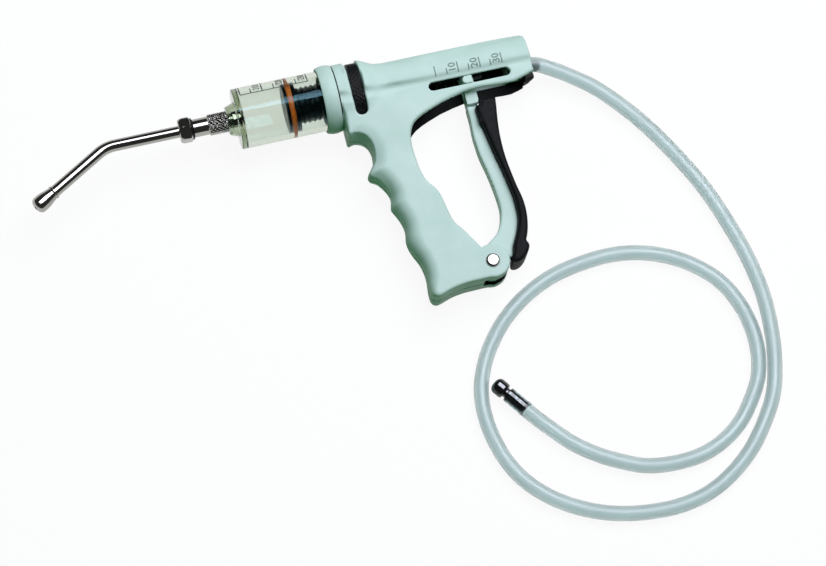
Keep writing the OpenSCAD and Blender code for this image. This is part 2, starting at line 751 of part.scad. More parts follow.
module far_shell() {
    color(sea_green) lay() mirror([0, 0, 1]) difference() {
        shell_form();
        shell_hollow(false);
        for (p = screw_places()) {
            across(p, -over, p[2] + over, screw_r + slide_gap);
            across(p, p[2], head_r + over, screw_head_r + slide_gap);
        }
    }
}

module shell_screws() {
    color(dark_metal) lay() for (p = screw_places()) {
        across(p, -p[2], screw_reach, screw_r);
        across(p, -p[2] - screw_head_t, -p[2], screw_head_r);
    }
}

// Barrel group
module barrel_collar() {
    color(sea_green) lay() lathe_x([
        [-collar_length, barrel_r + touch_gap], [-collar_length, collar_front_r],
        [collar_bevel - collar_length, collar_edge_r], [collar_mid, collar_r],
        [-collar_bevel, collar_edge_r],
        [0, collar_edge_r], [0, collar_bore_r], [flange_front, collar_bore_r],
        [flange_front, barrel_r + touch_gap]
    ]);
}

module barrel() {
    color(clear_plastic, 0.4) lay() lathe_x([
        [boss_front, stub_r + seat_gap], [boss_front, boss_tip_r], [-barrel_reach, boss_r],
        [-barrel_reach, barrel_r], [flange_front, barrel_r], [flange_front, head_r], [seal_front, head_r],
        [seal_front, bore_r], [bore_front, bore_r], [bore_front, stub_r + seat_gap]
    ]);
}

module barrel_seal() {
    color(black_plastic) lay()
        ring_x(seal_front, -spigot_length, head_r - barrel_seal_step, bore_r + barrel_seal_step);
}

// Outlet valve
module outlet_valve_body() {
    color(bright_metal) lay() lathe_x([
        [neck_front, nut_stub_r + seat_gap], [neck_front, neck_r], [knurl_front, neck_r],
        [knurl_front, knurl_r], [boss_front, knurl_r], [boss_front, stub_r],
        [boss_front + stub_length, stub_r], [boss_front + stub_length, outlet_port_r],
        [outlet_seat_x, outlet_port_r], [outlet_seat_x, chamber_r],
        [neck_front + nut_stub_length, chamber_r], [neck_front + nut_stub_length, nut_stub_r + seat_gap]
    ]);
}

module outlet_valve_ball() {
    color(bright_metal) lay() translate([ball_x, 0, 0]) sphere(r = ball_r);
}

module outlet_valve_spring() {
    color(dark_metal) lay() coil(
        nut_rear + nut_stub_length + outlet_wire / 2 + seat_gap, outlet_spring_rear - touch_gap,
        outlet_spring_r, outlet_wire, outlet_turns
    );
}

// Nozzle
module nozzle_washer() {
    color(black_plastic) lay() ring_x(nut_rear, neck_front, neck_r + washer_over, nut_stub_r + touch_gap);
}

module nozzle_nut() {
    color(bright_metal) lay() difference() {
        union() {
            intersection() {
                translate([nut_front, 0, 0]) rotate([0, 90, 0])
                    cylinder(h = nut_length, r = nut_flats / sqrt(3), $fn = 6);
                lathe_x([
                    [nut_front, 0], [nut_front, nut_flats / 2], [nut_front + nut_chamfer, nut_corner_r],
                    [nut_rear, nut_corner_r], [nut_rear, 0]
                ]);
            }
            rod_x(nut_rear - over, nut_rear + nut_stub_length, nut_stub_r);
        }
        rod_x(nut_front - over, nut_front + nut_socket, tube_r + seat_gap);
        rod_x(nut_front, nut_rear + nut_stub_length + over, outlet_port_r);
    }
}

// Path of the bent nozzle, from x0 on the barrel axis to s1 on the second leg
function nozzle_path(x0, s1) = concat(
    [[x0, 0, 0]],
    [
        for (k = [0 : bend_steps])
            let (a = 90 + nozzle_bend * k / bend_steps)
            [bend_x + bend_tangent + nozzle_bend_r * cos(a), nozzle_bend_r * (sin(a) - 1), 0]
    ],
    [[bend_x - s1 * cos(nozzle_bend), -s1 * sin(nozzle_bend), 0]]
);

module nozzle_tube() {
    color(bright_metal) lay()
        swept_hose(nozzle_path(nut_front + nut_socket, tube_end), tube_r, tube_bore_r, tube_sides);
}

module nozzle_tip() {
    tip_start = nozzle_leg - tip_length;
    socket_end = tip_start + tip_socket + touch_gap;
    color(bright_metal) lay() at_leg() lathe_x(concat(
        [[tip_start, tube_r + seat_gap], [tip_start, tube_r + tip_lip]],
        [for (s = tip_shares) [tip_start + s[0] * tip_length, s[1] * tip_r]],
        [
            [nozzle_leg, tip_hole_r + tip_rim], [nozzle_leg, tip_hole_r],
            [socket_end, tip_hole_r], [socket_end, tube_r + seat_gap]
        ]
    ));
}

// Piston group
module piston_rod() {
    color(bright_metal) lay() ring_x(rod_front, rod_rear, rod_r, rod_bore_r);
}

module piston() {
    groove_r = bore_r - seal_squeeze - seal_cord;
    color(black_plastic) lay() difference() {
        union() {
            rod_x(piston_front, seal_front_x, piston_r);
            rod_x(piston_front, piston_rear, groove_r);
            rod_x(seal_front_x + seal_cord, piston_rear, piston_r);
            rod_x(piston_rear - over, piston_rear + hub_length, hub_r);
        }
        rod_x(piston_front - over, valve_seat_x, valve_chamber_r);
        rod_x(piston_front, piston_rear, valve_port_r);
        rod_x(rod_front, piston_rear + hub_length + over, rod_r + seat_gap);
    }
}

module piston_seal() {
    color(orange_rubber) lay() rotate([0, 90, 0]) rotate_extrude()
        translate([bore_r - seal_squeeze - seal_cord / 2, seal_front_x + seal_cord / 2])
            circle(d = seal_cord - seat_gap);
}

module inlet_valve_disc() {
    color(orange_rubber) lay() rod_x(valve_seat_x - disc_t - seat_gap, valve_seat_x - seat_gap, disc_r);
}

module inlet_valve_spring() {
    color(dark_metal) lay() coil(
        piston_front + retainer_t + inlet_wire / 2 + seat_gap,
        valve_seat_x - disc_t - inlet_wire / 2 - touch_gap, inlet_spring_r, inlet_wire, inlet_turns
    );
}

module valve_retainer() {
    color(black_plastic) lay() difference() {
        rod_x(piston_front, piston_front + retainer_t, valve_chamber_r - seat_gap);
        rod_x(piston_front - over, piston_front + retainer_t + over, retainer_hole_r);
        for (k = [0 : retainer_holes - 1])
            rotate([360 * k / retainer_holes, 0, 0])
                translate([0, retainer_ring_r + touch_gap, 0])
                    rod_x(piston_front - over, piston_front + retainer_t + over, retainer_hole_r / 2);
    }
}

module rod_gland() {
    gland_front = crosshead_x + crosshead_length;
    color(black_plastic) lay() difference() {
        rod_x(gland_front, gland_front + gland_length, gland_r);
        rod_x(gland_front - over, rod_rear, rod_r + seat_gap);
        rod_x(rod_rear - over, gland_front + gland_length - gland_wall, rod_seal_r + seat_gap);
        rod_x(gland_front, gland_front + gland_length + over, feed_r + touch_gap);
    }
}

module rod_seal() {
    color(black_plastic) lay() ring_x(rod_rear, rod_rear + rod_seal_length, rod_seal_r, feed_r + run_gap);
}

module rod_bush() {
    color(black_plastic) lay() difference() {
        union() {
            rod_x(bulkhead_x, bulkhead_x + bulkhead_t + over / 2, bush_r);
            rod_x(bulkhead_x + bulkhead_t, spring_front, bush_flange_r);
        }
        rod_x(bulkhead_x - over, spring_front + over, rod_r + run_gap);
    }
}

// Crosshead: clamps the rod, forks over the lever tongue and shows a round-nosed pointer in the slot
module crosshead() {
    pointer_half = half_depth - pointer_recess;
    pointer_h = slot_height - 2 * tongue_side_gap;
    color(sea_green) lay() difference() {
        union() {
            rod_x(crosshead_x, crosshead_x + crosshead_length, crosshead_r);
            translate([crosshead_x, -crosshead_drop, -crosshead_half])
                cube([crosshead_length, crosshead_drop, 2 * crosshead_half]);
            across([crosshead_x + pointer_h / 2, -slot_drop], 0, pointer_half, pointer_h / 2);
            translate([crosshead_x + pointer_h / 2, -slot_drop - pointer_h / 2, 0])
                cube([pointer_w - pointer_h / 2, pointer_h, pointer_half]);
        }
        rod_x(crosshead_x - over, crosshead_x + crosshead_length + over, rod_r + seat_gap);
        translate([crosshead_x - over, -crosshead_drop - over, -tongue_half - fork_gap])
            cube([
                crosshead_length + 2 * over, crosshead_drop - fork_top + over, 2 * (tongue_half + fork_gap)
            ]);
        across([cross_pin_x, -cross_pin_drop], -crosshead_half - over, crosshead_half - pin_blind,
            cross_pin_r + seat_gap);
    }
}

module cross_pin() {
    color(bright_metal) lay()
        across([cross_pin_x, -cross_pin_drop], -crosshead_half, crosshead_half - pin_blind - touch_gap,
            cross_pin_r);
}

module return_spring() {
    x0 = spring_front + spring_ends;
    x1 = crosshead_x - spring_ends - touch_gap;
    echo(return_spring_least_gap = least_gap(helix_points(x0, x1, spring_r, spring_turns), spring_wire));
    color(bright_metal) lay() coil(x0, x1, spring_r, spring_wire, spring_turns);
}

// Dose group
module dose_wheel() {
    wheel_front = wheel_slot_x + slide_gap;
    wheel_rear = wheel_slot_x + wheel_slot_w - slide_gap;
    color(black_plastic) lay() lathe_x([
        [wheel_front, sleeve_r + run_gap], [wheel_front, wheel_r - wheel_chamfer],
        [wheel_front + wheel_chamfer, wheel_r], [wheel_rear - wheel_chamfer, wheel_r],
        [wheel_rear, wheel_r - wheel_chamfer], [wheel_rear, sleeve_r + run_gap]
    ]);
}

module dose_sleeve() {
    threads = floor(sleeve_length / thread_pitch);
    color(black_plastic) lay() difference() {
        lathe_x(concat(
            [[sleeve_front, sleeve_bore_r]],
            [
                for (k = [0 : threads - 1], s = thread_shares)
                    [sleeve_front + (k + s[0]) * thread_pitch, sleeve_r - s[1] * thread_depth]
            ],
            [[sleeve_rear, sleeve_r], [sleeve_rear, sleeve_bore_r]]
        ));
        rod_x(sleeve_front - over, sleeve_front + hub_length + hub_recess_gap, hub_r + slide_gap);
        translate([
            sleeve_rear - sleeve_travel - key_length - key_slot_spare, -sleeve_r - over,
            -key_w / 2 - slide_gap
        ])
            cube([
                sleeve_travel + key_length + key_slot_spare + over, key_depth + slide_gap + over,
                key_w + 2 * slide_gap
            ]);
    }
}

module sleeve_key() {
    color(bright_metal) lay() translate([key_x, -tunnel_r - key_foot, -key_w / 2])
        cube([key_length, key_foot + tunnel_gap + key_depth, key_w]);
}

// Lever group
function arm_points(shares) = [for (s = shares) s * lever_arm];
function lever_outline() = concat(
    spline(arm_points(lever_front_shares), 2), spline(arm_points(lever_back_shares), 2),
    arm_points(spur_shares)
);

module lever() {
    shoulder = lever_arm - (crosshead_drop - cross_pin_drop) - shoulder_gap;
    root = min(shoulder, lever_front_shares[0][1] * lever_arm) - tongue_root;
    color(sea_green) lay() at_lever() difference() {
        union() {
            translate([0, 0, -lever_half]) linear_extrude(2 * lever_half) polygon(lever_outline());
            across([0, 0], -lever_half, lever_half, eye_r);
            translate([-tongue_half_w, root, -tongue_half])
                cube([2 * tongue_half_w, lever_arm - root + tongue_over, 2 * tongue_half]);
        }
        translate([-lever_arm, shoulder, tongue_half])
            cube([2 * lever_arm, lever_arm, lever_half]);
        translate([-lever_arm, shoulder, -tongue_half - lever_half])
            cube([2 * lever_arm, lever_arm, lever_half]);
        across([0, 0], -lever_half - over, lever_half + over, lever_bush_r + seat_gap);
        for (d = [-pin_slot_half, pin_slot_half])
            across([0, lever_arm + d], -tongue_half - over, tongue_half + over, cross_pin_r + pin_slide);
        translate([-cross_pin_r - pin_slide, lever_arm - pin_slot_half, -tongue_half - over])
            cube([2 * (cross_pin_r + pin_slide), 2 * pin_slot_half, 2 * (tongue_half + over)]);
    }
}

module lever_bush() {
    color(brass) lay() at_lever() difference() {
        across([0, 0], -lever_half, lever_half, lever_bush_r);
        across([0, 0], -lever_half - over, lever_half + over, pivot_pin_r + run_gap);
    }
}

module palm_pad() {
    seat = spline(arm_points(lever_back_shares), 2);
    color(black_plastic) lay() at_lever() translate([0, 0, -pad_half]) linear_extrude(2 * pad_half)
        polygon(concat(
            spline(arm_points(pad_shares), 2),
            arm_points(pad_heel_shares),
            [for (i = [2 : len(seat) - 1]) seat[i]],
            arm_points([spur_shares[0]]),
            [[spur_shares[0][0] + spur_lip_share, pad_top_share] * lever_arm]
        ));
}

module pivot_pin() {
    color(bright_metal) lay() {
        across([pivot_x, -pivot_drop], -pin_end, half_depth, pivot_pin_r);
        across([pivot_x, -pivot_drop], half_depth, half_depth + pivot_head_t, pivot_head_r);
    }
}

module pivot_ring() {
    color(dark_metal) lay() difference() {
        across([pivot_x, -pivot_drop], -half_depth - pivot_ring_t, -half_depth, pivot_ring_r);
        across([pivot_x, -pivot_drop], -half_depth - pivot_ring_t - over, -half_depth + over,
            pivot_pin_r + seat_gap);
    }
}

// Black strip that lines the far wall of the channel and laps its lower edge
module channel_liner() {
    color(black_plastic) lay() translate([0, 0, seat_gap - channel_half]) intersection() {
        linear_extrude(liner_t)
            polygon([for (p = body_rim()) [p[0] + liner_lip / 2, p[1] - liner_lip]]);
        translate([channel_front + slide_gap, -channel_depth, -over])
            cube([
                body_length - channel_back - channel_front - 2 * slide_gap,
                channel_depth - channel_step - slide_gap, liner_t + 2 * over
            ]);
    }
}

// Barbed tail along X for a hose to be pushed on
module barbed_tail(x0, length) {
    lathe_x(concat(
        [[x0, feed_bore_r]],
        [
            for (k = [0 : barbs - 1], s = barb_shares)
                [x0 + (k + s[0]) * length / barbs, barb_root_r + s[1] * (barb_r - barb_root_r)]
        ],
        [[x0 + length, barb_root_r], [x0 + length, feed_bore_r]]
    ));
}

module inlet_elbow() {
    color(sea_green) lay() difference() {
        union() {
            rod_x(feed_front, elbow_x, feed_r);
            rod_x(elbow_x - elbow_flange_t, elbow_x, elbow_flange_r);
            rod_x(elbow_x - over / 2, elbow_x + elbow_seat_t + elbow_over, elbow_r);
            at_tail() rod_x(barb_start - over, hose_start + over, barb_root_r);
            at_tail() barbed_tail(hose_start + over / 2, barb_length);
        }
        rod_x(feed_front - over, tail_x, feed_bore_r);
        at_tail() rod_x(-feed_bore_r / 2, hose_start + barb_length, feed_bore_r);
    }
}

// Hose
function laid(p) =
    let (
        q = [p[0], p[1] * cos(lay_tilt) - p[2] * sin(lay_tilt), p[1] * sin(lay_tilt) + p[2] * cos(lay_tilt)]
    )
    [
        q[0] * cos(lay_pitch) + q[2] * sin(lay_pitch), q[1],
        q[2] * cos(lay_pitch) - q[0] * sin(lay_pitch) + seam_height
    ];
function tail_point(s) = laid([tail_x + s * cos(hose_angle), -s * sin(hose_angle), 0]);
hose_lead = 15;
hose_path = concat(
    [for (s = [hose_start, hose_start + hose_lead / 2, hose_start + hose_lead]) tail_point(s)], route
);
hose_end = hose_path[len(hose_path) - 1];
hose_heading = unit(hose_end - hose_path[len(hose_path) - 2]);

module hose() {
    color(clear_plastic, 0.5) translate([-mid_x, -mid_y, 0])
        swept_hose(hose_path, hose_r, hose_bore_r, hose_sides);
}

module hose_connector() {
    yaw = atan2(hose_heading[1], hose_heading[0]);
    lift = -asin(hose_heading[2]);
    color(dark_metal) translate([-mid_x, -mid_y, 0]) translate(hose_end) rotate([0, lift, yaw]) {
        mirror([1, 0, 0]) barbed_tail(0, barb_length);
        lathe_x(concat(
            [[0, feed_bore_r]],
            [for (s = nose_shares) [s[0] * nose_length, s[1] * nose_r]],
            [[nose_length, feed_bore_r]]
        ));
    }
}

near_shell();
far_shell();
shell_screws();
barrel_collar();
barrel();
barrel_seal();
outlet_valve_body();
outlet_valve_ball();
outlet_valve_spring();
nozzle_washer();
nozzle_nut();
nozzle_tube();
nozzle_tip();
piston_rod();
piston();
piston_seal();
inlet_valve_disc();
inlet_valve_spring();
valve_retainer();
rod_gland();
rod_seal();
rod_bush();
crosshead();
cross_pin();
return_spring();
dose_wheel();
dose_sleeve();
sleeve_key();
lever();
lever_bush();
palm_pad();
pivot_pin();
pivot_ring();
channel_liner();
inlet_elbow();
hose();
hose_connector();
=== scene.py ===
import bmesh
import bpy
import json
import numpy as np
from mathutils import Matrix, Vector


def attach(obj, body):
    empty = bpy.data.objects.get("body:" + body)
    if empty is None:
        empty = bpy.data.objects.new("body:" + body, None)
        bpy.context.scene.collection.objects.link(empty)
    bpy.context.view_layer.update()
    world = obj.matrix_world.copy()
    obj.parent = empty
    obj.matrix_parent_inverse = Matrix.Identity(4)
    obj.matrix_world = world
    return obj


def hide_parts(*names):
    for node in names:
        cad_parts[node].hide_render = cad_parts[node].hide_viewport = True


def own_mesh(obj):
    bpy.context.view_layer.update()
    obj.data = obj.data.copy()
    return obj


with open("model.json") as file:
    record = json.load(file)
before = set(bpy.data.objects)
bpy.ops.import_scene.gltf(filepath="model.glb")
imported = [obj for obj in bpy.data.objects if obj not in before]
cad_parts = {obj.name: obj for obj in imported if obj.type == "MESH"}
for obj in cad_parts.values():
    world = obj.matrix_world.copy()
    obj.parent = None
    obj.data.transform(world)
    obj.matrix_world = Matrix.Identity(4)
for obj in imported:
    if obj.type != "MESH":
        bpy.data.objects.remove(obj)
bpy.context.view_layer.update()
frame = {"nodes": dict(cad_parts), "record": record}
print("frame loaded:", len(frame["nodes"]), "nodes")

# The gun is worked out upright in millimetres (x rearward along the barrel from the collar seam,
# y up, z towards the near side) and then laid on the floor as the CAD model lies.
gun = {
    "bodyLength": 118.0, "gripDrop": 136.3, "halfDepth": 12.5, "cheekHalf": 16.5, "fingerRound": 8.6, "earR": 10.4,
    "pivot": (64.7544, -121.989), "lean": 0.034, "leanStart": 24.0, "armLean": 7.47677, "arm": 103.872,
    "pitch": 3.4525, "tilt": 1.05169, "seamHeight": 20.4611, "middle": (-32.6202, -57.75),
}
pitch, tilt = np.radians(gun["pitch"]), np.radians(gun["tilt"])
turnTilt = np.array([[1, 0, 0], [0, np.cos(tilt), -np.sin(tilt)], [0, np.sin(tilt), np.cos(tilt)]])
turnPitch = np.array([[np.cos(pitch), 0, np.sin(pitch)], [0, 1, 0], [-np.sin(pitch), 0, np.cos(pitch)]])
layTurn = turnPitch @ turnTilt
layShift = np.array([-gun["middle"][0], -gun["middle"][1], gun["seamHeight"]])


def toRow(points):  # gun millimetres to metres in the shared frame
    return (np.asarray(points, float) @ layTurn.T + layShift) / 1000


def spread(points, shift=(0, 0, 0), angle=0.0):  # turns about z by angle, then shifts
    a = np.radians(angle)
    turn = np.array([[np.cos(a), -np.sin(a), 0], [np.sin(a), np.cos(a), 0], [0, 0, 1]])
    return np.asarray(points, float) @ turn.T + np.asarray(shift, float)


# small tools
def linear(hexColour):  # sRGB hex to linear RGBA
    c = np.array([int(hexColour[i:i + 2], 16) for i in (1, 3, 5)]) / 255
    c = np.where(c <= 0.04045, c / 12.92, ((c + 0.055) / 1.055) ** 2.4)
    return (*c, 1.0)


def addNode(tree, kind, settings=None, links=None):  # one node, its input values and its incoming links
    node = tree.nodes.new(kind)
    for key, value in (settings or {}).items():
        if isinstance(key, str) and hasattr(node, key):
            setattr(node, key, value)
        else:
            node.inputs[key].default_value = value
    for key, source in (links or {}).items():
        tree.links.new(source, node.inputs[key])
    return node


def catmull(points, n):  # smooth curve through points, n steps between each two
    p = np.asarray(points, float)
    a, b = np.vstack([p[:1], p[:-2]]), p[:-1]
    c, d = p[1:], np.vstack([p[2:], p[-1:]])
    t = (np.arange(n) / n)[None, :, None]
    a, b, c, d = (v[:, None, :] for v in (a, b, c, d))
    out = (2 * b + (c - a) * t + (2 * a - 5 * b + 4 * c - d) * t ** 2 + (3 * b - a - 3 * c + d) * t ** 3) / 2
    return np.vstack([out.reshape(-1, p.shape[1]), p[-1:]])


def softCorners(loop, radius, n=4):  # each corner of a closed profile becomes a short curve
    p = np.asarray(loop, float)
    before, after = np.roll(p, 1, 0) - p, np.roll(p, -1, 0) - p
    lb = np.linalg.norm(before, axis=1, keepdims=True)
    la = np.linalg.norm(after, axis=1, keepdims=True)
    start = p + before / lb * np.minimum(radius, 0.45 * lb)
    end = p + after / la * np.minimum(radius, 0.45 * la)
    t = np.linspace(0, 1, n)[None, :, None]
    s, m, e = start[:, None], p[:, None], end[:, None]
    return ((1 - t) ** 2 * s + 2 * t * (1 - t) * m + t ** 2 * e).reshape(-1, 2)


def gridFaces(n, m, closeN=True):  # quads of an n by m grid, closed round m and, if asked, round n
    i, j = np.meshgrid(np.arange(n if closeN else n - 1), np.arange(m), indexing="ij")
    i2, j2 = (i + 1) % n, (j + 1) % m
    return np.stack([i * m + j, i2 * m + j, i2 * m + j2, i * m + j2], -1).reshape(-1, 4)


def spun(xs, radii):  # closed profile turned about the barrel axis; radii may change with the angle
    radii = np.asarray(radii, float)
    n, m = radii.shape
    a = np.arange(m) / m * 2 * np.pi
    verts = np.stack([np.broadcast_to(np.asarray(xs)[:, None], (n, m)), radii * np.cos(a), radii * np.sin(a)], -1)
    return verts.reshape(-1, 3), gridFaces(n, m)


def lathe(loop, sides, radius):  # plain turned ring from [x, radius] corners
    p = softCorners(loop, radius) if radius else np.asarray(loop, float)
    return spun(p[:, 0], np.repeat(p[:, 1:2], sides, 1))


def swept(path, radii, sides, level=(0, 0, 1)):  # round rings along a path, each with its own radius
    t = np.gradient(path, axis=0)
    t /= np.linalg.norm(t, axis=1, keepdims=True)
    side = np.cross(level, t)
    side /= np.linalg.norm(side, axis=1, keepdims=True)
    rise = np.cross(t, side)
    a = np.arange(sides) / sides * 2 * np.pi
    ring = np.cos(a)[None, :, None] * side[:, None] + np.sin(a)[None, :, None] * rise[:, None]
    return path[:, None] + np.broadcast_to(radii, len(path))[:, None, None] * ring


def hollowTube(path, outer, inner, sides, level=(0, 0, 1)):
    # out along the wall and back along the bore, closed at both ends
    wall = swept(path, outer, sides, level)
    bore = swept(path, inner, sides, level)[::-1]
    verts = np.concatenate([wall, bore])
    return verts.reshape(-1, 3), gridFaces(len(verts), sides)


def addObject(name, data):
    made = bpy.data.objects.new(name, data)
    bpy.context.scene.collection.objects.link(made)
    return made


def placePiece(name, mesh, material, body):
    mesh.materials.append(material)
    piece = addObject(name, mesh)
    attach(piece, body)
    return piece


def makePiece(name, verts, faces, node, sharp=None, inRow=False):
    # stands for a CAD node, whose body and slot the record gives
    verts = np.asarray(verts, float) if inRow else toRow(verts)
    faces = np.asarray(faces)
    corner = verts[faces]
    volume = np.einsum("ij,ij->i", corner[:, 0], np.cross(corner[:, 1], corner[:, 2])).sum()
    volume += np.einsum("ij,ij->i", corner[:, 0], np.cross(corner[:, 2], corner[:, -1])).sum()
    if volume < 0:  # faces point outwards
        faces = faces[:, ::-1]
    mesh = bpy.data.meshes.new(name)
    mesh.from_pydata(verts.tolist(), [], faces.tolist())
    mesh.polygons.foreach_set("use_smooth", np.ones(len(faces), bool))
    if sharp:
        mesh.set_sharp_from_angle(angle=np.radians(sharp))
    mesh.update()
    piece = placePiece(name, mesh, nodeFinish[node], nodeBody[node])
    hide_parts(node)
    return piece


def makeMixed(name, verts, faces, material):  # quads and triangles; a triangle repeats its last corner
    mesh = bpy.data.meshes.new(name)
    corners = [f[:3] if f[2] == f[3] else f for f in np.asarray(faces).tolist()]
    mesh.from_pydata(toRow(verts).tolist(), [], corners)
    mesh.update()
    fresh = bmesh.new()
    fresh.from_mesh(mesh)
    bmesh.ops.remove_doubles(fresh, verts=fresh.verts, dist=1e-7)
    bmesh.ops.recalc_face_normals(fresh, faces=fresh.faces)
    fresh.to_mesh(mesh)
    fresh.free()
    return placePiece(name, mesh, material, "body")


# distance fields, used where forms flow into each other
def fieldGrid(low, high, step):
    axes = [np.arange(a, b + step, step) for a, b in zip(low, high)]
    return np.meshgrid(*axes, indexing="ij"), np.array([a[0] for a in axes])


def outlineField(x, y, outline, weight=None):  # signed distance to a closed outline, and its nearest edge's weight
    best, inside = np.full(x.shape, 1e9), np.zeros(x.shape, bool)
    near = np.zeros(x.shape)
    ends = np.roll(outline, -1, 0)
    w = np.zeros(len(outline)) if weight is None else weight
    for (ax, ay), (bx, by), wa, wb in zip(outline, ends, w, np.roll(w, -1)):
        dx, dy = bx - ax, by - ay
        s = np.clip(((x - ax) * dx + (y - ay) * dy) / (dx * dx + dy * dy + 1e-12), 0, 1)
        d = (x - ax - s * dx) ** 2 + (y - ay - s * dy) ** 2
        closer = d < best
        best = np.where(closer, d, best)
        near = np.where(closer, wa + s * (wb - wa), near)
        crosses = ((ay > y) != (by > y)) & (x < dx * (y - ay) / (dy if abs(dy) > 1e-12 else 1e-12) + ax)
        inside ^= crosses
    d = np.sqrt(best)
    return np.where(inside, -d, d), near


def blurred(field, times):  # repeated averaging with the four neighbours
    for _ in range(times):
        p = np.pad(field, 1, mode="edge")
        field = (p[1:-1, 1:-1] * 2 + p[:-2, 1:-1] + p[2:, 1:-1] + p[1:-1, :-2] + p[1:-1, 2:]) / 6
    return field


def roundedSlab(d, z, half, across, depth=None):  # outline distance d, edge rounding across wide and depth deep
    depth = across if depth is None else depth
    q, w = d * depth / across + depth, np.abs(z) - half + depth
    return np.minimum(np.maximum(q, w), 0) + np.hypot(np.maximum(q, 0), np.maximum(w, 0)) - depth


def blendUnion(a, b, k):
    h = np.clip(0.5 + 0.5 * (b - a) / k, 0, 1)
    return b + (a - b) * h - k * h * (1 - h)


def blendCut(a, b, k):  # a without b, with a small rounding of k on the edge
    return -blendUnion(-a, b, k)


def netSurface(field, origin, step, smooth=2):
    # one vertex in each cell that the surface crosses, one quad on each crossed edge
    inside = field < 0
    n = np.array(field.shape) - 1
    steps = np.array([[i, j, k] for i in (0, 1) for j in (0, 1) for k in (0, 1)])
    count = sum(inside[i:n[0] + i, j:n[1] + j, k:n[2] + k].astype(np.int8) for i, j, k in steps)
    active = (count > 0) & (count < 8)
    cells = np.argwhere(active)
    index = np.full(active.shape, -1)
    index[active] = np.arange(len(cells))
    total, hits = np.zeros((len(cells), 3)), np.zeros((len(cells), 1))
    for a in steps:
        for axis in range(3):
            if a[axis]:
                continue
            b = a + np.eye(3, dtype=int)[axis]
            fa, fb = field[tuple((cells + a).T)], field[tuple((cells + b).T)]
            hit = (fa < 0) != (fb < 0)
            t = np.where(hit, fa / np.where(hit, fa - fb, 1), 0)
            total += np.where(hit[:, None], a + t[:, None] * (b - a), 0)
            hits += hit[:, None]
    verts = cells + total / hits
    quads = []
    for axis in range(3):
        u, v = (axis + 1) % 3, (axis + 2) % 3
        low, high = [slice(1, -1)] * 3, [slice(1, -1)] * 3
        low[axis], high[axis] = slice(0, -1), slice(1, None)
        a, b = inside[tuple(low)], inside[tuple(high)]
        edge = np.argwhere(a != b)
        edge += np.where(np.arange(3) == axis, 0, 1)
        flip = a[a != b]
        eu, ev = np.eye(3, dtype=int)[u], np.eye(3, dtype=int)[v]
        ring = np.stack([index[tuple((edge - o).T)] for o in (eu + ev, ev, 0 * eu, eu)], 1)
        quads.append(np.where(flip[:, None], ring, ring[:, ::-1]))
    quads = np.concatenate(quads)
    for _ in range(smooth):  # light smoothing takes out the grid's own ripple
        total, hits = np.zeros_like(verts), np.zeros((len(verts), 1))
        for k in range(4):
            a, b = quads[:, k], quads[:, (k + 1) % 4]
            np.add.at(total, a, verts[b])
            np.add.at(hits, a, 1)
        verts = verts * 0.5 + total / hits * 0.5
    return verts * step + origin, quads


print("tools ready")

# camera first
lens = {
    "azimuth": -13.9, "elevation": 74.5, "distance": 1800.0, "mmPerPixel": 0.6, "seamPixel": (337, 98),
    "size": (826, 566), "sensor": 36.0, "clipEnd": 20.0,
}
az, el = np.radians(lens["azimuth"]), np.radians(lens["elevation"])
back = np.array([np.sin(az) * np.cos(el), -np.cos(az) * np.cos(el), np.sin(el)])
right = np.array([np.cos(az), np.sin(az), 0])
upward = np.cross(back, right)
offX = (lens["seamPixel"][0] - lens["size"][0] / 2) * lens["mmPerPixel"]
offY = (lens["size"][1] / 2 - lens["seamPixel"][1]) * lens["mmPerPixel"]
aim = toRow([[0, 0, 0]])[0] * 1000 - right * offX - upward * offY
camera = bpy.data.cameras.new("camera")
camera.sensor_width = lens["sensor"]
camera.lens = lens["sensor"] * lens["distance"] / (lens["mmPerPixel"] * lens["size"][0])
camera.clip_end = lens["clipEnd"]
cameraObject = addObject("camera", camera)
cameraRows = np.column_stack([right, upward, back, (aim + back * lens["distance"]) / 1000])
cameraObject.matrix_world = Matrix(np.vstack([cameraRows, [0, 0, 0, 1]]).tolist())
bpy.context.scene.camera = cameraObject
print("camera set")

# materials: the drift of colour in mm, the part of the noise that is used, and the height of the grain in metres
finishSet = {"drift": 14.0, "noise": {"From Min": 0.3, "From Max": 0.7}, "lift": 0.0002}


def newMaterial(name):
    material = bpy.data.materials.new(name)
    material.use_nodes = True
    tree = material.node_tree
    tree.nodes.clear()
    out = addNode(tree, "ShaderNodeOutputMaterial")
    where = addNode(tree, "ShaderNodeTexCoord")
    return material, tree, out, where.outputs["Object"]


def grey(value):
    return (value, value, value, 1.0)


def noiseOf(tree, where, size, detail):  # the size in mm
    settings = {"Scale": 1000.0 / size, "Detail": detail}
    return addNode(tree, "ShaderNodeTexNoise", settings, {"Vector": where}).outputs["Fac"]


def between(tree, noise, low, high):  # the middle part of the noise, spread from low to high
    limits = {**finishSet["noise"], "To Min": low, "To Max": high}
    return addNode(tree, "ShaderNodeMapRange", limits, {"Value": noise}).outputs["Result"]


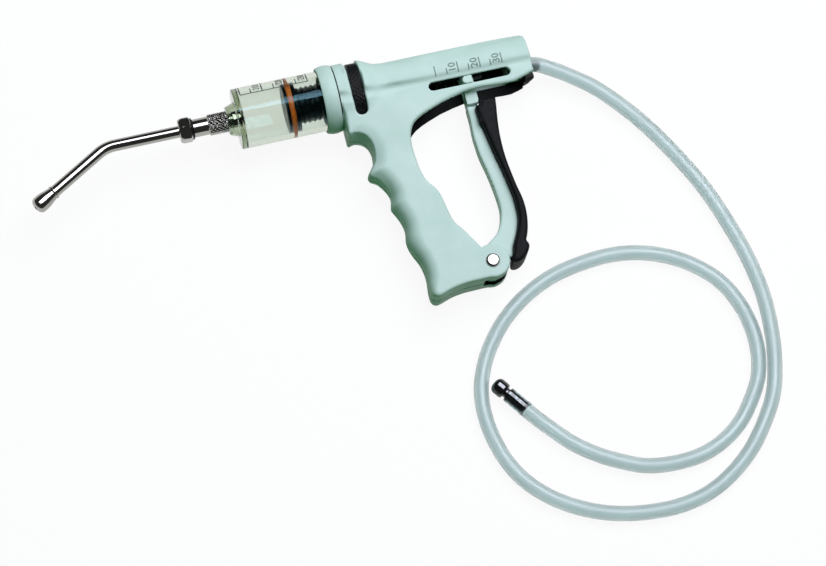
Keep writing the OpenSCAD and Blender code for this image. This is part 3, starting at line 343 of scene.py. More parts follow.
def solidFinish(name, colours, roughness, grain, settings, bump):
    # colour drifts between two close shades, roughness between two values, and a fine grain lifts the surface
    material, tree, out, where = newMaterial(name)
    drift, fine = noiseOf(tree, where, finishSet["drift"], 3.0), noiseOf(tree, where, grain, 2.0)
    shades = {"data_type": "RGBA", 6: linear(colours[0]), 7: linear(colours[1])}
    shade = addNode(tree, "ShaderNodeMix", shades, {0: between(tree, drift, 0.0, 1.0)})
    lift = addNode(tree, "ShaderNodeBump", {"Strength": bump, "Distance": finishSet["lift"]}, {"Height": fine})
    shader = addNode(tree, "ShaderNodeBsdfPrincipled", settings, {
        "Base Color": shade.outputs[2], "Roughness": between(tree, fine, *roughness), "Normal": lift.outputs["Normal"]})
    tree.links.new(shader.outputs["BSDF"], out.inputs["Surface"])
    return material


# Moulded ABS: an even, slightly satin skin from a spark-eroded mould; grain of 0.3 mm drawn at 0.7 mm so that it shows
mouldedAbs = solidFinish(
    "moulded_abs_sea_green", ("#b9cfc8", "#c1d6d0"), (0.38, 0.48), 0.7, {"IOR": 1.52, "Specular IOR Level": 0.14}, 0.1)
# Turned acetal: dense black, low bluish sheen, fine turning marks
acetalSet = {"IOR": 1.48, "Specular IOR Level": 0.35, "Specular Tint": linear("#86b9c8")}
blackAcetal = solidFinish("black_acetal", ("#07090a", "#0e1112"), (0.24, 0.36), 0.5, acetalSet, 0.08)
# Moulded nylon of the dose wheel: black, harder and brighter on its points
blackNylon = solidFinish(
    "black_moulded_nylon", ("#060708", "#0b0c0d"), (0.12, 0.2), 0.5, {"IOR": 1.53, "Specular IOR Level": 0.45}, 0.08)
# Inlet elbow: the body's grey-green made darker as painted shade, so that its flange at the end of the slot looks
# shaded; dull
elbowShadeNylon = solidFinish(
    "elbow_nylon_darkened_as_shade", ("#66756f", "#6e7d77"), (0.5, 0.6), 0.8, {"IOR": 1.53, "Specular IOR Level": 0.2}, 0.15)
# Moulded rubber: dull black with a soft bloom; the same black also serves as painted shade on the shells, the collar's
# joint and the channel liner
blackRubberAndShade = solidFinish(
    "black_rubber_and_painted_shade", ("#040708", "#080c0d"), (0.54, 0.68), 0.9, {"IOR": 1.5, "Specular IOR Level": 0.15}, 0.2)
# Silicone ring: orange, slightly waxy
orangeSilicone = solidFinish("orange_silicone", ("#e8761f", "#f2882e"), (0.3, 0.4), 1.2, {"IOR": 1.43}, 0.05)
# Chrome plate on brass: bright with faint smears
chromePlate = solidFinish("chrome_plate", ("#9c9d97", "#aaaba5"), (0.05, 0.11), 4.0, {"Metallic": 1.0}, 0.02)
# Black nickel plate on the connector: a darker mirror than chrome
blackNickel = solidFinish("black_nickel_plate", ("#5c5e5f", "#6a6c6d"), (0.06, 0.12), 4.0, {"Metallic": 1.0}, 0.02)
# Ground steel: grey with a fine satin
groundSteel = solidFinish("ground_steel", ("#8b8e90", "#9fa2a4"), (0.22, 0.34), 0.6, {"Metallic": 1.0}, 0.08)
# Oil-blackened spring steel: nearly black with a faint sheen
oiledSteel = solidFinish("oil_blackened_steel", ("#08090a", "#0c0e0f"), (0.5, 0.62), 0.6, {"Metallic": 1.0}, 0.08)
# Turned brass: warm, a little dull
turnedBrass = solidFinish("turned_brass", ("#b08b42", "#c19d54"), (0.2, 0.32), 1.0, {"Metallic": 1.0}, 0.06)
# Screen ink: flat black print
screenInk = solidFinish("screen_ink_black", ("#15181a", "#1d2123"), (0.5, 0.6), 1.0, {"IOR": 1.5}, 0.05)
# Filled scale marks: grey-green paint rubbed into the moulding
markPaint = solidFinish("scale_mark_paint", ("#57736a", "#627d74"), (0.45, 0.55), 1.0, {"IOR": 1.5}, 0.05)


def clearFinish(name, settings, roughness, haze):
    # a clear polymer: light goes through the walls, and its polish drifts between two values
    material, tree, out, where = newMaterial(name)
    gloss = between(tree, noiseOf(tree, where, haze, 1.0), *roughness)
    shader = addNode(tree, "ShaderNodeBsdfPrincipled", settings, {"Roughness": gloss})
    tree.links.new(shader.outputs["BSDF"], out.inputs["Surface"])
    return material, tree, out, shader, gloss


# Cast acrylic: clear through its thin wall, olive where the light runs a long way through it
acrylicSet = {
    "Base Color": linear("#f2f8f6"), "IOR": 1.49, "Transmission Weight": 1.0, "Specular Tint": linear("#84b4c4")}
clearAcrylic, tree, out, _, _ = clearFinish("clear_acrylic", acrylicSet, (0.02, 0.05), 25.0)
olive = addNode(tree, "ShaderNodeVolumeAbsorption", {"Color": linear("#b6c29f"), "Density": 75.0})
tree.links.new(olive.outputs["Volume"], out.inputs["Volume"])
# Plasticised PVC: milky where it is empty and clear where a barbed tail fills it; softly polished
pvcSet = {"Base Color": linear("#e0eeee"), "IOR": 1.52}
clearPvc, tree, _, shader, softness = clearFinish("clear_pvc_hose", pvcSet, (0.3, 0.4), 18.0)
fill = addNode(tree, "ShaderNodeAttribute", {"attribute_name": "barbFilled"})
share = addNode(tree, "ShaderNodeMapRange", {"To Min": 0.9, "To Max": 1.0}, {"Value": fill.outputs["Fac"]})
polish = addNode(tree, "ShaderNodeMapRange", {"To Min": 1.0, "To Max": 0.1}, {"Value": fill.outputs["Fac"]})
polished = addNode(tree, "ShaderNodeMath", {"operation": "MULTIPLY"}, {0: softness, 1: polish.outputs["Result"]})
tree.links.new(polished.outputs[0], shader.inputs["Roughness"])
tree.links.new(share.outputs["Result"], shader.inputs["Transmission Weight"])

finishes = {
    "sea_green_plastic": mouldedAbs, "black_plastic": blackAcetal, "clear_barrel": clearAcrylic,
    "clear_hose": clearPvc, "black_rubber": blackRubberAndShade, "orange_rubber": orangeSilicone,
    "chrome": chromePlate, "steel": groundSteel, "brass": turnedBrass,
}
# painted shade: the channel liner's black sheet stands for the shade inside the channel
ownFinish = {
    "piston_rod": oiledSteel, "return_spring": oiledSteel, "channel_liner": blackRubberAndShade, "inlet_elbow": elbowShadeNylon,
    "dose_wheel": blackNylon, "hose_connector": blackNickel,
}
nodeSlot = {sub["node"]: sub["material_slot"] for sub in frame["record"]["subparts"]}
nodeBody = {node: body for body, nodes in frame["record"]["behaviour"]["bodies"].items() for node in nodes}
nodeFinish = {node: ownFinish.get(node, finishes[slot]) for node, slot in nodeSlot.items()}
for node, finish in nodeFinish.items():
    frame["nodes"][node].data.materials.clear()
    frame["nodes"][node].data.materials.append(finish)
print("materials ready")

# hose, laid on the floor along the same points as the CAD solid
hoseSet = {
    "outer": 4.5, "bore": 3.0, "angle": 20.0, "leave": (106.0, 0.0), "start": 6.0, "lead": 15.0, "sides": 28,
    "steps": 8, "filled": 14.0, "fade": 1.5, "stretch": 0.3, "barbRoom": 1.55,
    "route": [
        (140, -16, 10), (156, -29, 7.5), (174, -51, 5.5), (189, -76, 4.6), (202, -104, 4.6), (211, -133, 4.6),
        (216, -156, 4.6), (218, -178, 4.6), (216.5, -201, 4.6), (213, -219, 4.6), (207.5, -235, 4.6),
        (198, -250, 4.6), (186, -264, 4.6), (172, -275, 4.6), (156, -283, 4.6), (139, -286.5, 4.6),
        (123, -286.5, 4.6), (106, -284, 4.6), (90, -279, 4.6), (74.5, -271, 4.6), (61, -260.5, 4.6),
        (50, -247, 4.6), (43, -231, 4.6), (39.5, -212, 4.6), (40.5, -194, 4.6), (45.5, -179.5, 4.6),
        (53, -167, 4.6), (64.5, -154, 4.6), (79.5, -143, 4.6), (97, -135, 4.6), (116, -131, 4.6),
        (136, -130, 4.6), (154, -133, 4.6), (171, -140, 4.6), (185, -150, 4.6), (196, -162.5, 4.6),
        (203, -178, 4.6), (206, -194, 4.6), (205.5, -209, 4.6), (202, -222, 4.6), (196, -232.5, 4.6),
        (186, -245, 4.6), (174, -254, 4.6), (161, -259.5, 4.6), (148, -261.5, 4.6), (134, -261, 4.6),
        (122, -258.5, 4.6), (110, -253, 4.6), (98, -246, 4.6), (86, -236.5, 4.6), (76.5, -226, 4.6),
        (68, -215.5, 4.7), (60.5, -205, 5), (56.2, -199, 5.2)],
}
down = np.radians(hoseSet["angle"])
leadAt = hoseSet["start"] + hoseSet["lead"] * np.array([0, 0.5, 1])
leaveX, leaveY = hoseSet["leave"]
leadGun = np.stack([leaveX + leadAt * np.cos(down), leaveY - leadAt * np.sin(down), 0 * leadAt], 1)
floorShift = np.array([-gun["middle"][0], -gun["middle"][1], 0])
hosePoints = np.vstack([toRow(leadGun), (np.array(hoseSet["route"], float) + floorShift) / 1000])
hosePath = catmull(hosePoints, hoseSet["steps"])
hoseSteps = np.linalg.norm(np.diff(hosePath, axis=0), axis=1)
toEnd = np.append(hoseSteps[::-1].cumsum()[::-1], 0) * 1000
filled = np.clip((hoseSet["filled"] - toEnd) / hoseSet["fade"], 0, 1)  # the barbed tail stretches this end
hoseWall, hoseBore = hoseSet["outer"] + hoseSet["stretch"] * filled, hoseSet["bore"] + hoseSet["barbRoom"] * filled
hoseVerts, hoseFaces = hollowTube(hosePath * 1000, hoseWall, hoseBore, hoseSet["sides"])
hose = makePiece("hose_tube", hoseVerts / 1000, hoseFaces, "hose", sharp=50, inRow=True)
filledRings = np.repeat(np.concatenate([filled, filled[::-1]]), hoseSet["sides"])
hose.data.attributes.new("barbFilled", "FLOAT", "POINT").data.foreach_set("value", filledRings)

# connector: barbed tail in the hose, a groove, then a bullet nose
noseSet = {
    "length": 11.5, "r": 5.0, "bore": 1.5, "barbs": 4, "barbLength": 13.0, "barbShares": (0, 0.08, 0.92),
    "barbR": (3.9, 4.0, 4.55), "sides": 64, "edge": 0.35,
    "profile": [
        (0.0, 0.9), (0.1, 0.9), (0.12, 0.62), (0.26, 0.62), (0.28, 0.92), (0.4, 1.0), (0.75, 1.0), (0.84, 0.95),
        (0.92, 0.83), (1.0, 0.55)],
}
barbX = (np.arange(noseSet["barbs"])[:, None] - noseSet["barbs"] + noseSet["barbShares"]).ravel()
barbX = barbX * noseSet["barbLength"] / noseSet["barbs"]
noseLoop = np.vstack([
    [(-noseSet["barbLength"], noseSet["bore"])],
    np.stack([barbX, np.tile(noseSet["barbR"], noseSet["barbs"])], 1),
    np.array(noseSet["profile"]) * (noseSet["length"], noseSet["r"]),
    [(noseSet["length"], noseSet["bore"])]])
noseVerts, noseFaces = lathe(noseLoop, noseSet["sides"], noseSet["edge"])
heading = hosePoints[-1] - hosePoints[-2]
heading /= np.linalg.norm(heading)
noseSide = np.cross((0, 0, 1), heading)
noseSide /= np.linalg.norm(noseSide)
noseTurn = np.stack([heading, noseSide, np.cross(heading, noseSide)], 1)
noseVerts = noseVerts / 1000 @ noseTurn.T + hosePoints[-1]
connector = makePiece("bullet_connector", noseVerts, noseFaces, "hose_connector", sharp=40, inRow=True)

# grip and body shells: outlines in shares of the body's length and the grip's drop, with the share of edge rounding
fingers = [
    (0, -0.209, 0.15), (0.014, -0.21, 0.5), (0.034, -0.212, 1.0), (0.068, -0.223, 1.0), (0.093, -0.246, 1.0),
    (0.106, -0.277, 1.0), (0.108, -0.307, 1.0), (0.102, -0.339, 1.0), (0.085, -0.362, 1.0), (0.068, -0.381, 1.1),
    (0.064, -0.393, 1.2), (0.076, -0.404, 1.1), (0.102, -0.416, 1.0), (0.127, -0.443, 1.0), (0.148, -0.477, 1.0),
    (0.155, -0.507, 1.0), (0.148, -0.539, 1.1), (0.146, -0.554, 1.15), (0.161, -0.581, 1.05), (0.178, -0.616, 1.0),
    (0.188, -0.654, 1.0), (0.186, -0.681, 1.0), (0.181, -0.707, 1.1), (0.186, -0.739, 1.05), (0.203, -0.777, 1.0),
    (0.225, -0.816, 0.95), (0.237, -0.854, 0.9), (0.242, -0.893, 0.9), (0.24, -0.946, 0.7), (0.245, -0.979, 0.5),
    (0.261, -0.995, 0.3), (0.288, -0.997, 0.2), (0.356, -0.978, 0.18), (0.424, -0.969, 0.18), (0.508, -0.967, 0.18)]
rearEdge = [
    (0.536, -0.824), (0.511, -0.788), (0.46, -0.719), (0.435, -0.692), (0.418, -0.649), (0.397, -0.565),
    (0.38, -0.526), (0.342, -0.48), (0.325, -0.442), (0.312, -0.388), (0.303, -0.328), (0.302, -0.299),
    (0.305, -0.269), (0.315, -0.238), (0.332, -0.215), (0.358, -0.196), (0.392, -0.18), (0.434, -0.165),
    (0.502, -0.144), (0.569, -0.13), (0.637, -0.119), (0.705, -0.116), (0.773, -0.119), (0.841, -0.122),
    (0.883, -0.122), (0.925, -0.113), (0.968, -0.101)]
shellSet = {
    "step": 0.66, "low": (-5, -139.5, -1.5), "high": (120.5, 21.5, 21.5), "fillet": 1.4, "seam": 0.03, "edge": 0.5,
    "rearRound": 0.24, "earRound": 1.4, "earArc": (-110, 120, 40), "tailRound": 1.5, "tailDrop": 12.4, "blur": 16,
    "roundLimits": (1.4, 11.5), "depthShare": 1.22, "depthFrom": 2.0, "depthOver": 6.0, "skin": 0.2,
    "fingerSteps": 6, "rearSteps": 4, "tailSteps": 6,
}
headSet = {
    "spineX": (-3, 16, 17.8, 20.9, 24.4, 30), "spineR": (19.2, 19.2, 18.4, 16.35, 14.4, 13.6), "tailR": 13.5,
    "tailEdge": 1.0, "flatX": (4.5, 15.8), "flatZ": 16.5, "flatEdge": 0.5,
    "cheekRear": 16.0, "cheekLow": -12.0, "cheekHigh": 2.0, "cheekBlend": 5.0, "cheekInside": 2.0, "cheekFront": 0.3,
    "cheekFalls": [(24, 4), (16, 4), (10, 9)], "slopeBlend": 4.0,
    "grooveX": 4.4, "grooveRho": 20.4, "grooveR": 1.9, "grooveY": 5.0, "grooveHalf": 9.0, "grooveEdge": 1.0,
    "creaseY": -6.3, "creaseZ": 15.2, "creaseR": 3.5, "creaseEdge": 1.2, "creaseRise": 5.0, "creaseFrom": 14.0,
    "creaseOver": 22.0,
}
holeSet = {
    "windowX": 11.25, "windowHalf": 3.75, "windowEnd": -14.2,  # for the dose wheel
    "bores": [(-5, 41.97, 11.5), (44.97, 104, 10.5), (41, 46, 8.02)],  # for the sleeve, the spring and the rod bush
    "channels": [(70.5, 32, -21.8, 21.8), (107, 6, -27.3, 16.3)], "channelHalf": 10.0,  # for the lever and its pad
    "forkR": 11.4, "forkHalf": 5.2, "pinR": 3.05,
    "feedBores": [(103, 110, 6.55), (109, 114, 10.5)], "hoseR": 5.1,
    "slot": (53.69, 50.36, -9.4, 5.3), "screwR": 3.3,
    "screws": [(25.37, -22.9, 7.0), (29.53, -57.93, 7.0), (34.98, -105.63, 7.0), (106.5, 9.2, 6.5)],
}
shellScale = np.array([gun["bodyLength"], gun["gripDrop"], gun["fingerRound"]])
pivotX, pivotY = gun["pivot"]


def leaned(points):  # the grip leans forward below the start of the lean
    out = np.array(points, float)
    out[:, 0] += gun["lean"] * np.minimum(0, out[:, 1] + gun["leanStart"])
    return out


earAngles = np.radians(np.linspace(*shellSet["earArc"]))
earX, earY = pivotX + gun["earR"] * np.cos(earAngles), pivotY + gun["earR"] * np.sin(earAngles)
earArc = np.stack([earX, earY, np.full(len(earX), shellSet["earRound"])], 1)
rearArc = leaned(catmull([(*p, shellSet["rearRound"]) for p in rearEdge], shellSet["rearSteps"]) * shellScale)
tailEnd = [(gun["bodyLength"], low, shellSet["tailRound"]) for low in (-shellSet["tailDrop"], 0)]
headStart = [(0, 0, shellSet["tailRound"])]
fingerArc = leaned(catmull(fingers, shellSet["fingerSteps"]) * shellScale)
shellRim = np.vstack([headStart, fingerArc, earArc, rearArc, tailEnd])


def turnedForm(x, rho, xs, rs):  # distance to a turned profile that runs along x
    return np.maximum(rho - np.interp(x, xs, rs), np.maximum(xs[0] - x, x - xs[-1]))


def stadium(x, y, x0, length, y0, height):
    r = height / 2
    q = np.maximum(np.abs(x - x0 - length / 2) - length / 2 + r, 0)
    return np.hypot(q, y - y0) - r


def gripForm(x, y, z, rho):  # grip, spine, head and cheek as one flowing form
    s, h = shellSet, headSet
    d2, weight = outlineField(x[:, :, 0], y[:, :, 0], shellRim[:, :2], shellRim[:, 2])
    weight = np.clip(blurred(weight, s["blur"]), *s["roundLimits"])
    depth = weight * (1 - (1 - s["depthShare"]) * np.clip((weight - s["depthFrom"]) / s["depthOver"], 0, 1))
    depth = np.minimum(depth, gun["halfDepth"] - s["skin"])
    slab = roundedSlab(d2[:, :, None], z, gun["halfDepth"], weight[:, :, None], depth[:, :, None])
    tailArc = np.linspace(0, np.pi / 2, s["tailSteps"])
    spineX = np.concatenate([h["spineX"], gun["bodyLength"] - h["tailEdge"] * (1 - np.sin(tailArc))])
    spineR = np.concatenate([h["spineR"], h["tailR"] - h["tailEdge"] * (1 - np.cos(tailArc))])
    spine = turnedForm(x, rho, spineX, spineR)
    flat = np.maximum(np.maximum(h["flatX"][0] - x, x - h["flatX"][1]), h["flatZ"] - z)
    spine = blendCut(spine, flat, h["flatEdge"])
    cheek = z - gun["cheekHalf"]
    ways = (x - h["cheekRear"], h["cheekLow"] - y, y - h["cheekHigh"])
    for (run, fall), along in zip(h["cheekFalls"], ways):  # it slopes away to the rear, below and above
        slope = (along * fall + (z - gun["cheekHalf"]) * run) / np.hypot(run, fall)
        cheek = -blendUnion(-cheek, -slope, h["slopeBlend"])
    cheek = np.maximum(cheek, np.minimum(d2[:, :, None] + h["cheekInside"], spine))  # it stays inside the outline
    plain = blendUnion(slab, spine, s["fillet"])
    full = np.maximum(blendUnion(plain, cheek, h["cheekBlend"]), h["cheekFront"] - x)  # with a crisp front edge
    return np.minimum(plain, full)


def shellField(near):
    s, h, cut = shellSet, headSet, holeSet
    (x, y, z), origin = fieldGrid(s["low"], s["high"], s["step"])
    rho = np.hypot(y, z)
    form = gripForm(x, y, z, rho)
    groove = np.hypot(x - h["grooveX"], rho - h["grooveRho"]) - h["grooveR"]  # shallow, ahead of the wheel
    groove = np.maximum(groove, np.abs(y - h["grooveY"]) - h["grooveHalf"])
    form = blendCut(form, np.maximum(groove, -z), h["grooveEdge"])
    fade = np.clip((x - h["creaseFrom"]) / h["creaseOver"], 0, 1)  # the crease comes in slowly behind the wheel
    creaseZ = h["creaseZ"] + h["creaseRise"] * (1 - fade * fade * (3 - 2 * fade))
    form = blendCut(form, np.hypot(y - h["creaseY"], z - creaseZ) - h["creaseR"], h["creaseEdge"])
    fromWheel, below = np.abs(x - cut["windowX"]), y - cut["windowEnd"]
    holes = [np.where(below > 0, fromWheel, np.hypot(fromWheel, below)) - cut["windowHalf"]]
    holes += [turnedForm(x, rho, (x0, x1), (r, r)) for x0, x1, r in cut["bores"]]
    for midX, halfX, midY, halfY in cut["channels"]:
        channel = np.maximum(np.abs(x - midX) - halfX, np.abs(y - midY) - halfY)
        holes.append(np.maximum(channel, z - cut["channelHalf"]))
    fromPivot = np.hypot(x - pivotX, y - pivotY)
    holes += [np.maximum(fromPivot - cut["forkR"], z - cut["forkHalf"]), fromPivot - cut["pinR"]]
    holes += [turnedForm(x, rho, (x0, x1), (r, r)) for x0, x1, r in cut["feedBores"]]
    hoseX = (x - leaveX) * np.cos(down) - y * np.sin(down)
    hoseY = (x - leaveX) * np.sin(down) + y * np.cos(down)
    holes.append(np.maximum(np.hypot(hoseY, z) - cut["hoseR"], -hoseX))
    if near:
        holes.append(np.maximum(stadium(x, y, *cut["slot"]), -z))
    else:
        holes += [np.maximum(np.hypot(x - sx, y - sy) - cut["screwR"], sink - z) for sx, sy, sink in cut["screws"]]
    for hole in holes:
        form = blendCut(form, hole, s["edge"])
    return netSurface(np.maximum(form, s["seam"] - z), origin, s["step"])


nearVerts, nearFaces = shellField(True)
nearShell = makePiece("near_half_shell", nearVerts, nearFaces, "near_shell")
farVerts, farFaces = shellField(False)
farShell = makePiece("far_half_shell", farVerts * (1, 1, -1), farFaces, "far_shell")
far = 1000.0  # a limit that nothing reaches
paintedShadeSets = [
    {"x": (44.5, 104.5), "y": (-11.0, far), "rho": (0, 11.2)},  # painted shade: the bore behind the slot is painted black
    {"x": (100.0, far), "y": (-far, -11.0), "z": (-10.8, 10.8)},  # and the rear corner below the tail, painted black as shade
    {"fromPivot": (4.0, 11.8), "z": (-5.7, 5.7)},  # and the fork round the lever's eye, painted black as shade
    {"x": (53.0, 105.0), "y": (-12.8, -6.0), "z": (-far, 9.5)},  # and the near shell's slot below its lip, painted black as shade
]


def paintShadeBlack(piece, verts, faces, ranges):  # painted shade: faces whose middle lies in one of the ranges get the black rubber material, as the shade inside the shells
    x, y, z = verts[faces].mean(axis=1).T
    place = {"x": x, "y": y, "z": z, "rho": np.hypot(y, z), "fromPivot": np.hypot(x - pivotX, y - pivotY)}
    black = np.zeros(len(faces), bool)
    for limits in ranges:
        black |= np.all([(place[key] > low) & (place[key] < high) for key, (low, high) in limits.items()], axis=0)
    piece.data.materials.append(blackRubberAndShade)
    piece.data.polygons.foreach_set("material_index", black.astype(np.int32))
    print(piece.name, "black faces:", black.sum())


paintShadeBlack(nearShell, nearVerts, nearFaces, paintedShadeSets)
paintShadeBlack(farShell, farVerts, farFaces, paintedShadeSets[:3])
print("shells:", len(nearFaces), len(farFaces), "quads")

# collar, whose rebate at the joint with the head is painted black as the shade in that joint, and the clear barrel
collarSet = {
    "sides": 128, "edge": 0.3, "lip": {"x": (-0.85, far), "rho": (0, 19.95)},
    "profile": [
        (-10, 18.35), (-10, 19.7), (-8.6, 20.3), (-6.5, 20.72), (-5, 20.8), (-3.5, 20.72), (-1.6, 20.3), (-0.8, 20.1),
        (-0.8, 19.45), (0, 19.45), (0, 19.3), (-6.5, 19.3), (-6.5, 18.35)],
}
collarVerts, collarFaces = lathe(collarSet["profile"], collarSet["sides"], collarSet["edge"])
collar = makePiece("barrel_clamp_collar", collarVerts, collarFaces, "barrel_collar", sharp=50)
# painted shade: the rebate's faces go black to darken the joint
paintShadeBlack(collar, collarVerts, collarFaces, [collarSet["lip"]])
barrelSet = {
    "sides": 128, "edge": 0.7, "r": 18.25, "boreR": 15.25,
    "front": [(-67.5, 5.02), (-67.5, 8.5), (-62, 10.4)], "flange": [(-6.5, 19.2), (-4, 19.2)],
}
barrelLoop = barrelSet["front"] + [(-62, barrelSet["r"]), (-6.5, barrelSet["r"])] + barrelSet["flange"]
barrelLoop += [(-4, barrelSet["boreR"]), (-58.5, barrelSet["boreR"]), (-58.5, 5.02)]
barrelMesh = lathe(barrelLoop, barrelSet["sides"], barrelSet["edge"])
makePiece("clear_barrel", *barrelMesh, "barrel", sharp=60)


def profileWithBand(front, bandX, bandR, rear):  # a band whose radius changes with the angle, between plain corners
    ends = [np.array(corners, float).reshape(-1, 2) for corners in (front, rear)]
    plain = [np.repeat(corners[:, 1:], bandR.shape[1], 1) for corners in ends]
    return spun(np.concatenate([ends[0][:, 0], bandX, ends[1][:, 0]]), np.vstack([plain[0], bandR, plain[1]]))


def knurled(band):  # diamond pyramids between two crossing screw lines
    bandX = np.linspace(*band["band"], band["steps"])
    around = np.arange(band["sides"]) / band["sides"] * band["teeth"]
    along = bandX[:, None] / band["pitch"]
    rise = np.minimum(*(1 - np.abs(2 * (turn % 1) - 1) for turn in (around + along, around - along)))
    return profileWithBand(band["front"], bandX, band["r"] + band["depth"] * (rise ** band["crest"] - 1), band["rear"])


valveSet = {
    "band": (-78.6, -68.0), "r": 6.5, "teeth": 16, "pitch": 2.4, "depth": 0.6, "crest": 0.8, "sides": 364, "steps": 96,
    "front": [(-88.5, 4.02), (-88.5, 5.1), (-88.1, 5.5), (-79.3, 5.5), (-79.0, 5.8), (-79.0, 6.0)],
    "rear": [
        (-67.5, 6.0), (-67.5, 5.0), (-58.7, 5.0), (-58.7, 2.0), (-70, 2.0), (-70, 3.4), (-82.5, 3.4), (-82.5, 4.02)],
}
makePiece("outlet_valve_housing", *knurled(valveSet), "outlet_valve_body", sharp=35)
washerSet = {"sides": 72, "edge": 0.3, "profile": [(-89.5, 4.1), (-89.5, 6.5), (-88.5, 6.5), (-88.5, 4.1)]}
washerMesh = lathe(washerSet["profile"], washerSet["sides"], washerSet["edge"])
makePiece("nozzle_seal_ring", *washerMesh, "nozzle_washer", sharp=50)

# hex nut: across-flats prism under a chamfer cone, both as radii round the axis
nutSet = {
    "flats": 13.8, "sides": 144, "wear": 0.18, "wearWidth": 3.0,
    "coneX": [-97.0, -97.0, -96.6, -95.9, -95.2, -94.4, -92.0, -90.6, -90.2, -89.8, -89.5],
    "coneR": [3.62, 6.3, 6.9, 7.3, 7.6, 7.8, 8.2, 7.8, 7.5, 7.1, 6.7],
    "stub": [(-89.5, 4.0), (-83.5, 4.0), (-83.5, 2.0), (-91, 2.0), (-91, 3.62)],
}
nutAngle = np.arange(nutSet["sides"]) / nutSet["sides"] * 360
hexR = nutSet["flats"] / 2 / np.cos(np.radians((nutAngle + 30) % 60 - 30))
hexR = hexR - nutSet["wear"] * np.exp(-((nutAngle % 60 - 30) / nutSet["wearWidth"]) ** 2)
nutR = np.minimum(np.array(nutSet["coneR"])[:, None], hexR[None])
nutMesh = profileWithBand([], nutSet["coneX"], nutR, nutSet["stub"])
makePiece("nozzle_hex_nut", *nutMesh, "nozzle_nut", sharp=24)

# bent tube and its olive tip
nozzleSet = {
    "start": -91.0, "bendX": -141.5, "angle": 30.0, "bendR": 20.0, "outer": 3.6, "bore": 2.6, "end": 46.5, "sides": 64,
    "straightSteps": 14, "bendSteps": 18,
}
tipSet = {
    "at": 40.5, "sides": 72, "edge": 0.5,
    "profile": [
        (0, 3.62), (0, 4.1), (0.5, 4.3), (1.1, 4.25), (1.5, 3.8), (2.2, 4.0), (4.5, 4.42), (7.0, 4.95), (9.3, 5.18),
        (12.3, 5.2), (13.4, 4.75), (14.25, 3.95), (14.8, 3.1), (15, 2.2), (15, 1.6), (6.1, 1.6), (6.1, 3.62)],
}
bend = np.radians(nozzleSet["angle"])
bendX, bendR = nozzleSet["bendX"], nozzleSet["bendR"]
tangentX = bendR * np.tan(bend / 2)
bendAngles = np.pi / 2 + np.linspace(0, bend, nozzleSet["bendSteps"])
straightX = np.linspace(nozzleSet["start"], bendX + tangentX, nozzleSet["straightSteps"])[:-1]
legS = np.linspace(tangentX, nozzleSet["end"], nozzleSet["straightSteps"])[1:]
tubeX = np.concatenate([straightX, bendX + tangentX + bendR * np.cos(bendAngles), bendX - legS * np.cos(bend)])
tubeY = np.concatenate([0 * straightX, bendR * (np.sin(bendAngles) - 1), -legS * np.sin(bend)])
tubeMesh = hollowTube(np.stack([tubeX, tubeY, 0 * tubeX], 1), nozzleSet["outer"], nozzleSet["bore"], nozzleSet["sides"])
makePiece("bent_nozzle_tube", *tubeMesh, "nozzle_tube", sharp=50)
tipVerts, tipFaces = lathe(np.array(tipSet["profile"]) + (tipSet["at"], 0), tipSet["sides"], tipSet["edge"])
tipVerts = spread(tipVerts, (bendX, 0, 0), 180 + nozzleSet["angle"])
makePiece("olive_nozzle_tip", tipVerts, tipFaces, "nozzle_tip", sharp=50)
print("nozzle made")

# piston, its ring, dose sleeve and dose wheel
pistonSet = {
    "front": -32.469, "sides": 96, "edge": 0.35,
    "profile": [
        (0, 6.0), (0, 14.9), (1.72, 14.9), (1.72, 11.7), (5.22, 11.7), (5.22, 14.9), (7.5, 14.9), (7.5, 7.0),
        (15.5, 7.0), (15.5, 4.52), (7.0, 4.52), (7.0, 2.0), (5.3, 2.0), (5.3, 6.0)],
}
ringSet = {"behindFront": 3.475, "r": 13.65, "half": 1.74, "squareness": 0.7, "corners": 28, "sides": 128}
pistonMesh = lathe(np.array(pistonSet["profile"]) + (pistonSet["front"], 0), pistonSet["sides"], pistonSet["edge"])
makePiece("piston_body", *pistonMesh, "piston", sharp=50)
ringAngle = np.linspace(0, 2 * np.pi, ringSet["corners"], endpoint=False)
ringSwing = np.stack([np.cos(ringAngle), np.sin(ringAngle)], 1)
ringSwing = np.sign(ringSwing) * np.abs(ringSwing) ** ringSet["squareness"]  # squarish section
ringLoop = np.array([pistonSet["front"] + ringSet["behindFront"], ringSet["r"]]) + ringSet["half"] * ringSwing
ringMesh = lathe(ringLoop, ringSet["sides"], 0)
makePiece("piston_o_ring", *ringMesh, "piston_seal")

sleeveSet = {
    "front": -24.869, "rear": 20.131, "r": 11.0, "endR": 9.8, "bore": 5.0, "pocket": 8.4, "pocketR": 7.3, "lead": 0.3,
    "turns": 15, "pitch": 3.0, "depth": 0.7, "rootAt": 0.6, "rootHalf": 0.36, "flank": 0.16, "sides": 96, "perTurn": 12,
}
sleeveFront, sleeveRear = sleeveSet["front"], sleeveSet["rear"]
sleeveSteps = sleeveSet["turns"] * sleeveSet["perTurn"]
sleeveX = np.linspace(sleeveFront + sleeveSet["lead"], sleeveRear - sleeveSet["lead"], sleeveSteps)
phase = (sleeveX[:, None] / sleeveSet["pitch"] - np.arange(sleeveSet["sides"])[None] / sleeveSet["sides"]) % 1
inRoot = np.clip((sleeveSet["rootHalf"] - np.abs(phase - sleeveSet["rootAt"])) / sleeveSet["flank"], 0, 1)
pocketX = sleeveFront + sleeveSet["pocket"]
sleeveMesh = profileWithBand(
    [(pocketX, sleeveSet["bore"]), (pocketX, sleeveSet["pocketR"]), (sleeveFront, sleeveSet["pocketR"]),
     (sleeveFront, sleeveSet["endR"])],
    sleeveX, sleeveSet["r"] - sleeveSet["depth"] * inRoot,
    [(sleeveRear, sleeveSet["endR"]), (sleeveRear, sleeveSet["bore"])])
makePiece("threaded_dose_sleeve", *sleeveMesh, "dose_sleeve", sharp=50)

